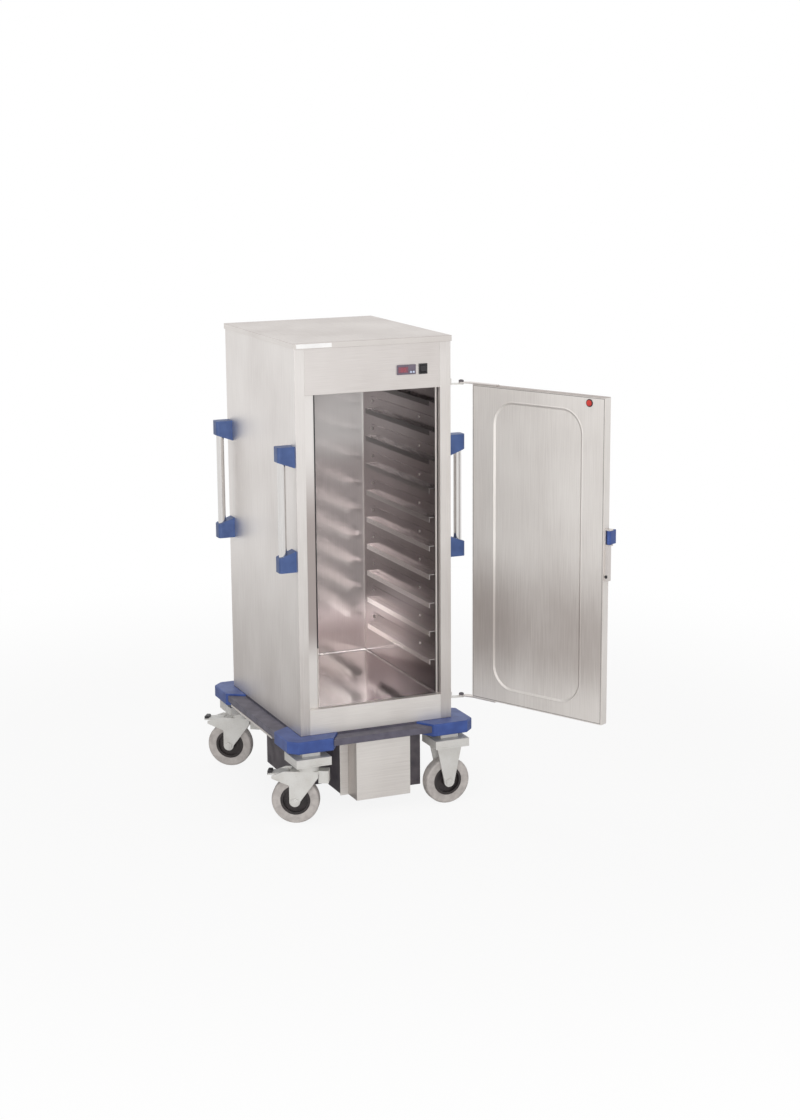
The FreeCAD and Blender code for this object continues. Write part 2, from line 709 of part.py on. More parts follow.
def brake_pedal(name, end, turn):
    body = new_body(name)
    level = plate_low - d.crown_drop - d.crown_skin / 2
    start = d.trail + d.boss_radius + d.pedal_skin * 2
    eye = d.pedal_pin + d.pedal_skin / 2
    points = [(start, level + eye), (start + eye, level + eye), (d.pedal_reach, level - eye + d.pedal_skin),
              (d.pedal_reach, level - eye), (start + eye, level)]
    pad(body, outline(body, "XZ", points), d.pedal_width, both=True)
    pad(body, circle(body, "XZ", (start, level), eye), d.pedal_width, both=True)
    bore = circle(body, "XZ", (start, level), d.pedal_pin + d.running_gap)
    pocket(body, bore, d.pedal_width * 2, both=True)
    return place(body, -castor_side, castor_along[end], 0, turn)


def axle_bolt(name, trail):
    body = new_body(name)
    long = fork_width / 2
    head = long + d.castor_plate
    thick = d.axle_radius + d.pedal_skin
    spin(body, [(0, -head), (thick, -head), (thick, -long), (d.axle_radius, -long), (d.axle_radius, long),
                (thick, long), (thick, head), (0, head)], (trail, 0, d.wheel_radius))
    return body


def wheel_rim(name, trail):
    body = new_body(name)
    bore = d.axle_radius + d.running_gap
    hub = d.hub_width / 2
    web = d.castor_plate
    barrel = d.tyre_width / 2 - d.pad_skin
    inner = d.rim_radius - 2 * d.pedal_skin
    half_section = [(bore, hub), (d.hub_radius, hub), (d.hub_radius, web), (inner, web), (inner, barrel),
                    (d.rim_radius, barrel)]
    spin(body, half_section + [(radius, -along) for radius, along in reversed(half_section)],
         (trail, 0, d.wheel_radius))
    return body


def wheel_tyre(name, trail):
    body = new_body(name)
    wide = d.tyre_width / 2
    shoulder = d.pedal_skin
    half_section = [(d.rim_radius, wide - d.pad_skin), (d.wheel_radius - 2 * shoulder, wide),
                    (d.wheel_radius - shoulder / 2, wide - shoulder / 2),
                    (d.wheel_radius, wide - 2 * shoulder)]
    spin(body, half_section + [(radius, -along) for radius, along in reversed(half_section)],
         (trail, 0, d.wheel_radius))
    return body


def swivel_castor(end_name, end, turn):
    spot = (-castor_side, castor_along[end], 0, turn)
    name = end_name + "_left_castor_"
    return [castor_fork(name + "fork", end, turn), brake_pedal(name + "pedal", end, turn),
            place(axle_bolt(name + "axle", d.trail), *spot), place(wheel_rim(name + "rim", d.trail), *spot),
            place(wheel_tyre(name + "tyre", d.trail), *spot)]


def fixed_bracket(name):
    body = new_body(name)
    castor_plate(body)
    top = d.bracket_top / 2
    points = [(-top, plate_low), (top, plate_low), (d.boss_radius, d.wheel_radius),
              (-d.boss_radius, d.wheel_radius)]
    pad(body, outline(body, "XZ", points), fork_width, both=True)
    pad(body, circle(body, "XZ", (0, d.wheel_radius), d.boss_radius), fork_width, both=True)
    gap = rectangle((-d.plate_length, 0), (d.plate_length, plate_low - d.crown_skin))
    pocket(body, outline(body, "XZ", gap), d.fork_gap, both=True)
    pocket(body, circle(body, "XZ", (0, d.wheel_radius), d.axle_radius), fork_width * 2, both=True)
    return body


def fixed_castors():
    brackets, axles, wheels = [], [], []
    for name, end in (("front", -1), ("rear", 1)):
        spot = (castor_side, castor_along[end])
        label = name + "_right_castor_"
        brackets.append(place(fixed_bracket(label + "bracket"), *spot))
        axles.append(place(axle_bolt(label + "axle", 0), *spot))
        wheels += [place(wheel_rim(label + "rim", 0), *spot), place(wheel_tyre(label + "tyre", 0), *spot)]
    return [group("fixed_castor_brackets", brackets), group("fixed_castor_axles", axles)] + wheels


# Heating unit
def heater_box():
    half_box = d.box_width / 2
    left, right = d.box_place - half_box, d.box_place + half_box
    face = front - d.box_front
    low = d.unit_clearance
    shell = box("heater_shell", (left, face, low), (right, box_back, deck_low))
    flange = box("heater_flange", (left - d.flange_reach, box_back, low),
                 (right + d.flange_reach, box_back + d.skin, deck_low))
    inside = box("heater_hollow", (left + d.skin, face + d.skin, low + d.skin),
                 (right - d.skin, box_back + d.skin, deck_low - d.skin))
    return cut("heater_box", fuse("heater_sheet", shell, flange), inside)


def tub_outline(skin):
    neck_left, neck_right = skin - d.neck_left, d.neck_right - skin
    left, right = skin - d.tub_half, d.tub_half - skin
    near, step, far = neck_front + skin, tub_front + skin, tub_back - skin
    return [(neck_left, near), (neck_right, near), (neck_right, step), (right, step), (right, far),
            (left, far), (left, step), (neck_left, step)]


def underbody_housing():
    body = new_body("tub_shell")
    height = deck_low - d.unit_clearance
    pad(body, outline(body, "XY", tub_outline(0)), height)
    pocket(body, outline(body, "XY", tub_outline(d.tub_skin), (0, 0, height)), height - d.tub_skin)
    place(body, z=d.unit_clearance)
    half_mouth = d.box_width / 2 - d.window_margin
    mouth = box("tub_mouth", (d.box_place - half_mouth, neck_front, tub_floor + d.window_margin),
                (d.box_place + half_mouth, neck_front + d.tub_skin, deck_low - d.window_margin))
    return cut("underbody_housing", body, mouth)


def heating_element():
    # Hairpin tube on two saddles that stand on the housing's floor
    x, level = -d.element_place, tub_floor + d.element_rise
    start = tub_front + d.element_half
    end = start + d.element_length
    pieces = []
    for side in (-1, 1):
        spot = (x + side * d.element_half, start, level)
        pieces.append(rod("element_leg_%d" % (side + 1), d.element_radius, spot, d.element_length, "y"))
    bend = doc.addObject("Part::Torus", "element_bend")
    bind(bend, "Radius1", d.element_half)
    bind(bend, "Radius2", d.element_radius)
    bend.Angle3 = 180
    place(bend, x, end, level)
    reach = d.element_half + 2 * d.element_radius
    for spot, along in (("near", start + d.element_half), ("far", end - d.element_half)):
        pieces.append(box("saddle_" + spot, (x - reach, along, tub_floor),
                          (x + reach, along + d.saddle_skin, level + 2 * d.element_radius)))
    return fuse("heating_element", bend, *pieces)


fan_along = tub_front + d.tub_length / 2
motor_top = tub_floor + d.motor_height


def fan_motor():
    case = rod("motor_case", d.motor_radius, (d.fan_place, fan_along, tub_floor), d.motor_height)
    depth = d.motor_height / 2
    bore = rod("motor_bore", d.shaft_radius + d.running_gap,
               (d.fan_place, fan_along, motor_top - depth), depth)
    return cut("fan_motor", case, bore)


def fan_impeller():
    body = new_body("fan_impeller")
    seat = d.seat_gap
    pad(body, circle(body, "XY", (0, 0), d.fan_hub, (0, 0, seat)), d.blade_height)
    pad(body, circle(body, "XY", (0, 0), d.fan_radius, (0, 0, seat + d.disc_skin)), d.disc_skin)
    shaft = circle(body, "XY", (0, 0), d.shaft_radius, (0, 0, seat))
    pad(body, shaft, d.motor_height / 2 - d.disc_skin, flip=True)
    blade = rectangle((2 * d.fan_hub, -d.blade_skin / 2), (d.fan_radius - d.disc_skin, d.blade_skin / 2))
    step = pad(body, outline(body, "XY", blade, (0, 0, seat + 2 * d.disc_skin)), d.blade_height)
    ring = body.newObject("PartDesign::PolarPattern", "fan_blades")
    ring.Originals = [step]
    ring.Axis = ([item for item in body.Origin.OriginFeatures if item.Role == "Z_Axis"][0], [""])
    ring.Angle = 360
    bind(ring, "Occurrences", d.blade_count)
    body.Tip = ring
    doc.recompute()
    return place(body, d.fan_place, fan_along, motor_top)


def mains_gland():
    body = new_body("mains_gland")
    dome = d.gland_radius - d.gland_lip
    flange = d.gland_length / 3
    points = [(d.gland_bore, 0), (d.gland_radius, 0), (d.gland_radius, flange), (dome, flange),
              (dome, d.gland_length - d.gland_bore), (d.gland_bore + d.gland_lip, d.gland_length),
              (d.gland_bore, d.gland_length)]
    spin(body, points, (0, 0, 0))
    return place(body, -d.gland_place, tub_back, d.unit_clearance + d.gland_rise)


# Push handles
def handle_bracket(name, side, start, level, down):
    # Wall block that narrows to a round nose, with a socket for the tube
    body = new_body(name)
    points = [(0, 0), (side * d.handle_reach, 0), (side * d.handle_reach, -down * d.bracket_nose),
              (0, -down * d.bracket_wall)]
    step = pad(body, outline(body, "XZ", points), d.handle_width, flip=True)

    def nose(edge):
        ends = [vertex.Point for vertex in edge.Vertexes]
        return all(abs(point.x) > plain(d.handle_reach) - 0.01 for point in ends) and (
            abs(ends[0].z - ends[1].z) > 1)

    rounded_edges(body, step, nose, d.bracket_round)
    place_of_tube = (side * d.tube_reach, d.handle_width / 2)
    socket_floor = -down * (d.bracket_nose - d.socket_depth)
    socket = circle(body, "XY", place_of_tube, d.tube_radius, (0, 0, socket_floor))
    pocket(body, socket, d.bracket_wall, flip=down < 0)
    return place(body, side * half, start, level)


def push_handles():
    brackets, tubes = [], []
    tip = d.bracket_nose - d.socket_depth
    for name, side, end in castor_spots():
        start = end * (back - d.handle_inset - d.handle_width / 2) - d.handle_width / 2
        brackets.append(handle_bracket(name + "_upper_bracket", side, start, handle_high, 1))
        brackets.append(handle_bracket(name + "_lower_bracket", side, start, handle_low, -1))
        spot = (side * (half + d.tube_reach), start + d.handle_width / 2, handle_low + tip)
        length = handle_high - handle_low - 2 * tip
        wall = rod(name + "_tube_wall", d.tube_radius, spot, length)
        bore = rod(name + "_tube_bore", d.tube_radius - d.tube_skin, spot, length)
        tubes.append(cut(name + "_tube", wall, bore))
    return [group("handle_brackets", brackets), group("handle_tubes", tubes)]


# Door, drawn closed with its pivot at the origin, then swung open
def on_pivot(body, z=0):
    return place(body, pivot, front, z, d.door_angle)


def door_shell():
    body = new_body("door_shell")
    slab = rectangle((free_edge, door_outer), (hinge_edge, door_inner))
    pad(body, outline(body, "XY", slab), door_height)
    skin = d.door_skin
    hollow = rectangle((free_edge + skin, skin), (hinge_edge - skin, door_height - skin))
    pocket(body, outline(body, "XZ", hollow, (0, 0, -door_inner)), d.door_thick - skin, flip=True)
    return on_pivot(body, door_low)


def door_inner_panel():
    # Inner sheet with a shallow field pressed in, its corners rounded
    body = new_body("door_inner_panel")
    skin = d.door_skin
    face = (0, 0, -door_inner)
    sheet = rectangle((free_edge + skin, skin), (hinge_edge - skin, door_height - skin))
    pad(body, outline(body, "XZ", sheet, face), skin)
    low = (free_edge + d.field_side, d.field_low)
    high = (hinge_edge - d.field_side, door_height - d.field_top)
    pad(body, rounded(body, "XZ", low, high, d.field_round, face), d.field_depth + skin)
    inner_low = (low[0] + skin, low[1] + skin)
    inner_high = (high[0] - skin, high[1] - skin)
    field = rounded(body, "XZ", inner_low, inner_high, d.field_round - skin, face)
    pocket(body, field, d.field_depth, flip=True)
    return on_pivot(body, door_low)


def door_core():
    body = new_body("door_core")
    gap = d.door_skin + d.wool_gap
    near = door_inner - d.field_depth - d.door_skin - d.wool_gap
    points = rectangle((free_edge + gap, door_outer + gap), (hinge_edge - gap, near))
    pad(body, outline(body, "XY", points, (0, 0, gap)), door_height - 2 * gap)
    return on_pivot(body, door_low)


def hinge_arms():
    arms = []
    inner = door_inner - d.door_skin
    outer = inner - d.arm_width
    points = [(hinge_edge - d.arm_length, outer), (hinge_edge - d.arm_length, inner), (hinge_edge, inner),
              (0, d.eye_radius), (0, -d.eye_radius), (hinge_edge / 2, outer)]
    for name, level in (("upper", door_top), ("lower", door_low - d.arm_skin)):
        body = new_body(name + "_hinge_arm")
        pad(body, outline(body, "XY", points), d.arm_skin)
        pad(body, circle(body, "XY", (0, 0), d.eye_radius), d.arm_skin)
        pocket(body, circle(body, "XY", (0, 0), d.pin_radius + d.running_gap), d.arm_skin, flip=True)
        arms.append(on_pivot(body, level))
    return group("hinge_arms", arms)


def hinge_brackets():
    # A tab on the side panel carries a tongue under the arm, and the tongue carries the pin
    pieces = []
    wall = -d.hinge_reach
    reach = d.eye_radius
    for name, arm in (("upper", door_top), ("lower", door_low - d.arm_skin)):
        body = new_body(name + "_hinge_bracket")
        tongue = [(wall, 0), (wall, 2 * reach), (0, reach), (0, -reach)]
        pad(body, outline(body, "XY", tongue), d.arm_skin)
        pad(body, circle(body, "XY", (0, 0), reach), d.arm_skin)
        tab = rectangle((wall, 0), (wall + d.tab_skin, d.tab_width))
        pad(body, outline(body, "XY", tab), d.tab_height)
        pad(body, circle(body, "XY", (0, 0), d.pin_radius), 2 * d.arm_skin + d.seat_gap + d.pin_over)
        pieces.append(place(body, pivot, front, arm - d.seat_gap - d.arm_skin))
    return group("hinge_brackets", pieces)


grip_pivot = (free_edge - d.latch_plate - d.grip_barrel - d.joint_gap, door_inner - d.door_thick / 2)


def latch_body():
    # Plate on the door's free edge, a bar below and two lugs that hold the grip's pin
    body = new_body("latch_body")
    middle = door_inner - d.door_thick / 2
    near, far = middle + d.latch_width / 2, middle - d.latch_width / 2
    face = free_edge - d.latch_plate
    tall = d.latch_height + d.grip_height + 2 * d.lug_skin
    pad(body, outline(body, "XY", rectangle((face, far), (free_edge, near))), tall)
    bar = rectangle((face - d.latch_bar, far), (face, near))
    pad(body, outline(body, "XY", bar), d.latch_height)
    lug = rectangle((face - d.lug_reach, far), (face, near))
    for level in (d.latch_height, tall - d.lug_skin):
        pad(body, outline(body, "XY", lug, (0, 0, level)), d.lug_skin)
    pad(body, circle(body, "XY", grip_pivot, d.latch_pin, (0, 0, d.latch_height)), tall - d.latch_height)
    return on_pivot(body, latch_low)


def latch_grip():
    body = new_body("latch_grip")
    x, y = grip_pivot
    barrel = d.grip_barrel
    handle = rectangle((x - barrel - 2, y - d.grip_reach), (x + barrel, y))
    level = (0, 0, d.seat_gap)
    tall = d.grip_height - 2 * d.seat_gap
    pad(body, outline(body, "XY", handle, level), tall)
    pad(body, circle(body, "XY", grip_pivot, barrel, level), tall)
    pocket(body, circle(body, "XY", grip_pivot, d.latch_pin + d.running_gap, level), tall, flip=True)
    return on_pivot(body, latch_low + d.latch_height + d.lug_skin)


def door_magnet():
    body = new_body("door_magnet")
    centre = (hinge_edge - d.magnet_place, door_height - d.magnet_drop)
    pad(body, circle(body, "XZ", centre, d.magnet_radius, (0, 0, -door_inner)), d.magnet_proud, flip=True)
    return on_pivot(body, door_low)


def build():
    pieces = [side_panel("left_side_panel", -1, d.post_left),
              side_panel("right_side_panel", 1, d.post_right),
              back_panel(), top_cover(), header_panel(), sill_panel(), liner_wrap(), liner_ceiling(),
              floor_pan(), insulation(), tray_rails("left_tray_rails", chamber_left, 1),
              tray_rails("right_tray_rails", chamber_right, -1), rail_screws(), thermostat_body(),
              display_window(), rocker_frame(), power_rocker(), base_deck(), deck_skirts(), castor_mounts(),
              swivel_plates(), heater_box(), underbody_housing(), heating_element(), fan_motor(),
              fan_impeller(), mains_gland()]
    pieces += [key(*spot) for spot in key_places()]
    pieces += [bumper(name + "_bumper", side, end) for name, side, end in castor_spots()]
    pieces += swivel_castor("front", -1, d.front_castor_angle)
    pieces += swivel_castor("rear", 1, d.rear_castor_angle)
    pieces += fixed_castors() + push_handles()
    pieces += [door_shell(), door_inner_panel(), door_core(), hinge_arms(), hinge_brackets(), latch_body(),
               latch_grip(), door_magnet()]
    return pieces


def check(pieces):
    doc.recompute()
    for thing in doc.Objects:
        if "Invalid" in thing.State or "Error" in thing.State:
            raise RuntimeError("%s is %s" % (thing.Name, thing.State))
    for piece in pieces:
        if piece.Shape.isNull() or not piece.Shape.isValid() or not piece.Shape.Solids:
            raise RuntimeError("%s has no sound solid" % piece.Label)


def write(pieces):
    os.makedirs("parts", exist_ok=True)
    for piece in pieces:
        piece.Shape.exportStep("parts/%s.step" % piece.Label)
        print("%-28s %2d solids %10.0f mm3" % (piece.Label, len(piece.Shape.Solids), piece.Shape.Volume))


sub_parts = build()
check(sub_parts)
write(sub_parts)
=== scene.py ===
import json
import math

import bpy
from mathutils import Matrix, Vector

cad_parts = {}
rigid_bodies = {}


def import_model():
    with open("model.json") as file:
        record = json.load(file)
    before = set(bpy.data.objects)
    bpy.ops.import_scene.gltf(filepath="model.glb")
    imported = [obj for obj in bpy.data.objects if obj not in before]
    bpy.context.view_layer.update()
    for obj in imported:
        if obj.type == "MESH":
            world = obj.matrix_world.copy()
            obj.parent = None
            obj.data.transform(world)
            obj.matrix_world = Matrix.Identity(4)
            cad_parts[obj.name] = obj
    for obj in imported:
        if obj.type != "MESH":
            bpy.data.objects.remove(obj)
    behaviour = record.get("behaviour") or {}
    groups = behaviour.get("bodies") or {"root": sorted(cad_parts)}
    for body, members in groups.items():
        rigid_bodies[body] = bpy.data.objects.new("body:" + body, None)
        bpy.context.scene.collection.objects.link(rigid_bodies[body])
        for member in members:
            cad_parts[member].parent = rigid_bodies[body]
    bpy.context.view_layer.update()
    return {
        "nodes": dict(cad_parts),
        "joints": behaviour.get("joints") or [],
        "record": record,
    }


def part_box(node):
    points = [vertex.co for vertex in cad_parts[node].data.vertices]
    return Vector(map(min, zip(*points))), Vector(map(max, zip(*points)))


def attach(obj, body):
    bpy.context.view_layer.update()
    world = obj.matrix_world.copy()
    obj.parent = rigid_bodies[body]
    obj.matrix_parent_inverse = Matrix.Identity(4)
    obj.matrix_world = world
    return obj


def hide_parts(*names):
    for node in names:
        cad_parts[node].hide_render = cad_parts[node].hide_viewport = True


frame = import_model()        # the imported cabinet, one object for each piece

nodes = frame["nodes"]
joints = {joint["name"]: joint for joint in frame["joints"]}
members = frame["record"]["behaviour"]["bodies"]
bodyOf = {node: body for body in members for node in members[body]}
slotOf = {part["node"]: part["material_slot"] for part in frame["record"]["subparts"]}
mm = 0.001
print("frame loaded,", len(nodes), "pieces")


# Camera

view = {
    "place": (-2.442, -6.202, 2.232),
    "yaw": 23.225,       # turned towards +X, degrees
    "pitch": 12.532,     # looking down
    "roll": -0.409,
    "lens": 67.824,
    "sensor": 36,        # the picture's long side
    "far": 100,
}


def makeCamera():
    yaw, pitch, roll = (math.radians(view[key]) for key in ("yaw", "pitch", "roll"))
    forward = Vector((math.sin(yaw) * math.cos(pitch), math.cos(yaw) * math.cos(pitch), -math.sin(pitch)))
    right = Vector((math.cos(yaw), -math.sin(yaw), 0))
    up = right.cross(forward)
    side = math.cos(roll) * right + math.sin(roll) * up
    top = math.cos(roll) * up - math.sin(roll) * right
    bpy.ops.object.camera_add(location=view["place"])
    camera = bpy.context.object
    turn = Matrix((side, top, -forward)).transposed().to_4x4()
    camera.matrix_world = Matrix.Translation(view["place"]) @ turn
    camera.data.lens = view["lens"]
    camera.data.sensor_width = view["sensor"]
    camera.data.clip_end = view["far"]
    bpy.context.scene.camera = camera


makeCamera()
print("camera placed")


# Shader maths: a wire is one output socket, and sums on wires add their nodes

class Wire:
    def __init__(self, finish, socket):
        self.finish = finish
        self.socket = socket

    def __add__(self, other):
        return self.finish.maths("ADD", self, other)

    def __radd__(self, other):
        return self.finish.maths("ADD", other, self)

    def __sub__(self, other):
        return self.finish.maths("SUBTRACT", self, other)

    def __rsub__(self, other):
        return self.finish.maths("SUBTRACT", other, self)

    def __mul__(self, other):
        return self.finish.maths("MULTIPLY", self, other)

    def __rmul__(self, other):
        return self.finish.maths("MULTIPLY", other, self)


class Finish:
    def __init__(self, name, owner=None):
        self.owner = owner or bpy.data.materials.new(name)
        self.owner.use_nodes = True
        self.tree = self.owner.node_tree
        self.tree.nodes.clear()

    def node(self, kind, settings, values, out=0):
        made = self.tree.nodes.new(kind)
        for key, value in settings.items():
            setattr(made, key, value)
        for key, value in values.items():
            if isinstance(value, Wire):
                self.tree.links.new(value.socket, made.inputs[key])
            else:
                made.inputs[key].default_value = value
        return Wire(self, made.outputs[out]) if made.outputs else None

    def maths(self, operation, left, right):
        return self.node("ShaderNodeMath", {"operation": operation}, {0: left, 1: right})

    def mix(self, share, low, high):
        # a Mix node takes colours in its inputs 6 and 7, and gives one in its output 2
        return self.node("ShaderNodeMix", {"data_type": "RGBA"}, {0: share, 6: low, 7: high}, out=2)

    def tint(self, share, tones):
        # between two tones as read off a screen
        return self.mix(share, *(fromScreen(*tone) for tone in tones))

    def around(self, middle, amount, pattern):
        # a value that a pattern takes up and down
        return middle + amount * (pattern - 0.5)

    def place(self, stretch=(1, 1, 1)):
        spot = self.node("ShaderNodeTexCoord", {}, {}, out="Object")
        return self.node("ShaderNodeMapping", {}, {"Vector": spot, "Scale": stretch})

    def noise(self, stretch, size, detail):
        spots = {"Vector": self.place(stretch), "Scale": size, "Detail": detail}
        return self.node("ShaderNodeTexNoise", {}, spots)

    def ramp(self, value, start, end):
        limits = {"Value": value, "From Min": start, "From Max": end}
        return self.node("ShaderNodeMapRange", {"interpolation_type": "SMOOTHSTEP"}, limits)

    def along(self, axis):
        return self.node("ShaderNodeSeparateXYZ", {}, {"Vector": self.place()}, out=axis)

    def band(self, limits):
        # 1 between two heights, or two places along another axis, fading out on both sides
        spot = self.along(limits.get("axis", "Z"))
        return self.ramp(spot, *limits["from"]) * (1 - self.ramp(spot, *limits["to"]))

    def bump(self, height, strength, distance):
        return self.node("ShaderNodeBump", {}, {"Strength": strength, "Distance": distance, "Height": height})

    def surface(self, **sockets):
        named = {key.replace("_", " "): value for key, value in sockets.items()}
        shader = self.node("ShaderNodeBsdfPrincipled", {}, named)
        self.node("ShaderNodeOutputMaterial", {}, {"Surface": shader})
        return self.owner


def fromScreen(red, green, blue):
    # screen levels of 0 to 255 as the linear colour that sockets take
    levels = [value / 255 for value in (red, green, blue)]
    return (*(((level + 0.055) / 1.055) ** 2.4 for level in levels), 1)


# Brushed sheet: fine lines along the grain over soft clouds

upright = (700, 700, 9)      # grain that runs up a sheet
across = (9, 700, 700)       # grain that runs along a sheet
lengthwise = (700, 9, 700)   # grain that runs front to back
even = (1, 1, 1)             # the same every way

brushing = {
    "fine": 4,               # detail of the lines
    "soft": 3,               # detail of the clouds
    "stretch": (1, 1, 0.7),  # the clouds are taller than wide
    "lines": 0.45,           # the lines' share of the shade
    "clouds": 0.55,
    "depth": 0.4 * mm,
}


def brush(look, grain, cloudSize):
    lines = look.noise(grain, 1, brushing["fine"])
    cloud = look.noise(brushing["stretch"], cloudSize, brushing["soft"])
    return lines, brushing["lines"] * lines + brushing["clouds"] * cloud


# Outer sheets, and the stretches of them with painted shade

# painted shade low on the side panels, for the darker floor they mirror
panelFoot = {"share": 0.15, "from": (0.0, 0.1), "to": (0.30, 0.85)}
# painted reflection: a darker band across the door's lower half
doorBand = {"share": 0.45, "from": (0.36, 0.56), "to": (0.60, 0.90)}
# painted shade on the heater box's left side face
heaterSide = {"share": 0.4, "axis": "X", "from": (-0.0792, -0.0787), "to": (-0.0776, -0.0768)}
# painted shade on the flat of the top cover
topShade = {"share": 0.32, "from": (1.4978, 1.4992), "to": (1.6, 1.7)}     # on the flat of the top cover
# painted shade along the door's upper edge, a dark outline
doorHead = {"share": 0.9, "from": (1.3484, 1.3496), "to": (1.5, 1.6)}     # on the door's upper edge

# The light tones are lit and shaded copies of one steel: painted lighter on the low sheets, darker on the
# trim and the top cover.
skinLight = (232, 228, 225)
doorLight = (236, 232, 228)
lowLight = (240, 236, 232)
skin = {
    "dark": (176, 167, 162),
    "cloud": 4.5,
    "fade": (0.25, 1.25),    # from light to dark between these shades
    "spread": 0.16,
    "bump": 0.1,
}
skinSteels = {
    "panel_steel": {"light": skinLight, "grain": upright, "rough": 0.44, "dull": panelFoot},
    "door_steel": {"light": doorLight, "grain": upright, "rough": 0.54, "dull": doorBand, "metal": 0.75},
    "shell_steel": {"light": doorLight, "grain": upright, "rough": 0.52, "dull": doorHead, "metal": 0.75},
    "low_steel": {"light": lowLight, "grain": across, "rough": 0.38, "metal": 0.7},
    "heater_steel": {"light": lowLight, "grain": across, "rough": 0.38, "dull": heaterSide, "metal": 0.7},
    "trim_steel": {"light": (224, 219, 216), "grain": across, "rough": 0.46},
    "top_steel": {"light": (224, 219, 215), "grain": lengthwise, "rough": 0.38, "dull": topShade},
}


def brushedSteel(name, light, grain, rough, dull=None, metal=1.0):
    look = Finish(name)
    lines, shade = brush(look, grain, skin["cloud"])
    # painted shade: a band darkens the sheet's colour where it lies
    if dull:
        shade = shade + dull["share"] * look.band(dull)
    colour = look.tint(look.ramp(shade, *skin["fade"]), (light, skin["dark"]))
    return look.surface(Base_Color=colour, Metallic=metal,
                        Roughness=look.around(rough, skin["spread"], lines),
                        Normal=look.bump(lines, skin["bump"], brushing["depth"]))


# Chamber walls, and the tray rails that are screwed to them

# the side walls' tones, darker than the back wall's: painted shade for the dark chamber they mirror
wall = {
    "tones": ((156, 146, 146), (118, 109, 110)),
    "cloud": 5,
    "fade": (0.2, 0.9),
    "spread": 0.08,
    "bump": 0.012,
}
lining = {
    "back": (0.288, 0.297),            # the back wall lies beyond these depths
    "flange": (-0.2990, -0.2978),      # and the front flanges before these
    # painted shade on the back wall: greyer in its middle, darker still at its foot
    "brightTone": ((254, 252, 250), (238, 235, 233)),
    "grey": ((224, 217, 215), (186, 178, 176)),
    "greyBand": {"from": (0.28, 0.36), "to": (0.98, 1.12)},     # the back wall's middle is greyer
    "dulled": ((164, 154, 151), (136, 127, 125)),
    "dulledBand": {"from": (0.2, 0.3), "to": (0.42, 0.54)},     # and its foot is darker still
    # painted shade on the front flanges, darker half way up
    "front": (skinLight, (178, 168, 165)),
    "frontBand": {"from": (0.50, 0.62), "to": (0.92, 1.18)},    # the flanges are darker half way up
    "matt": 0.65,                      # how far the back wall is from bare metal
    "polish": 0.25,                    # how much less in its greyer middle
    "rough": 0.17,
    "flangeRough": 0.25,               # added on the flanges
}


def liningSheet(name):
    # side walls get a darker tone, painted shade for the dark chamber they mirror; the back wall is a paler
    # satin sheet with painted shade in its middle and at its foot; the front flanges are brushed, with
    # painted shade half way up
    look = Finish(name)
    lines, shade = brush(look, upright, wall["cloud"])
    shade = look.ramp(shade, *wall["fade"])
    depth = look.along("Y")
    back = look.ramp(depth, *lining["back"])
    flange = 1 - look.ramp(depth, *lining["flange"])
    middle = look.band(lining["greyBand"])
    sides = look.tint(shade, wall["tones"])
    brightTone, grey, dulled = (look.tint(shade, lining[key]) for key in ("brightTone", "grey", "dulled"))
    rear = look.mix(look.band(lining["dulledBand"]), look.mix(middle, brightTone, grey), dulled)
    front = look.tint(look.band(lining["frontBand"]), lining["front"])
    rough = look.around(lining["rough"], wall["spread"], lines) + lining["flangeRough"] * flange
    return look.surface(Base_Color=look.mix(flange, look.mix(back, sides, rear), front),
                        Metallic=1 - back * (lining["matt"] - lining["polish"] * middle), Roughness=rough,
                        Normal=look.bump(lines, wall["bump"], brushing["depth"]))


rail = {
    "ledge": (2 * mm, 3.5 * mm),       # from here on, away from the wall, it is ledge
    "upper": (0.65, 1.15),             # the ledges turn from bright to painted shade between these heights
    # painted shade on the upper ledges, darker than the lower ones
    "bright": ((252, 248, 246), (230, 226, 223)),
    "dulled": ((98, 92, 92), (78, 73, 73)),
    "rough": 0.24,
}


def trayRail(name, wallFace, side):
    # the flange takes the painted shade of the wall it is screwed to, the upper ledges get painted shade, the
    # lower ledges are bright
    look = Finish(name)
    lines, shade = brush(look, lengthwise, wall["cloud"])
    shade = look.ramp(shade, *wall["fade"])
    ledge = look.ramp(side * (look.along("X") - wallFace), *rail["ledge"])
    upper = look.ramp(look.along("Z"), *rail["upper"])
    flange = look.tint(shade, wall["tones"])
    bright, dulled = (look.tint(shade, rail[key]) for key in ("bright", "dulled"))
    return look.surface(Base_Color=look.mix(ledge, flange, look.mix(upper, bright, dulled)), Metallic=1.0,
                        Roughness=look.around(rail["rough"], wall["spread"], lines),
                        Normal=look.bump(lines, wall["bump"], brushing["depth"]))


pan = {
    "cloud": 6,
    "lines": 0.2,
    "clouds": 0.8,
    "fade": (0.25, 0.8),
    # the pan's darker part towards the right wall is a painted reflection of that wall
    "brightTone": ((254, 253, 252), (240, 239, 238)),
    "paintedReflection": ((190, 181, 183), (160, 152, 154)),
    "slant": 0.4,                      # the stain's edge runs across the pan at this slope
    "reflectionMask": (0.085, 0.112),           # it darkens towards the right wall
    "metal": 0.92,
    "rough": 0.12,
    "spread": 0.04,
    "bump": 0.003,
}


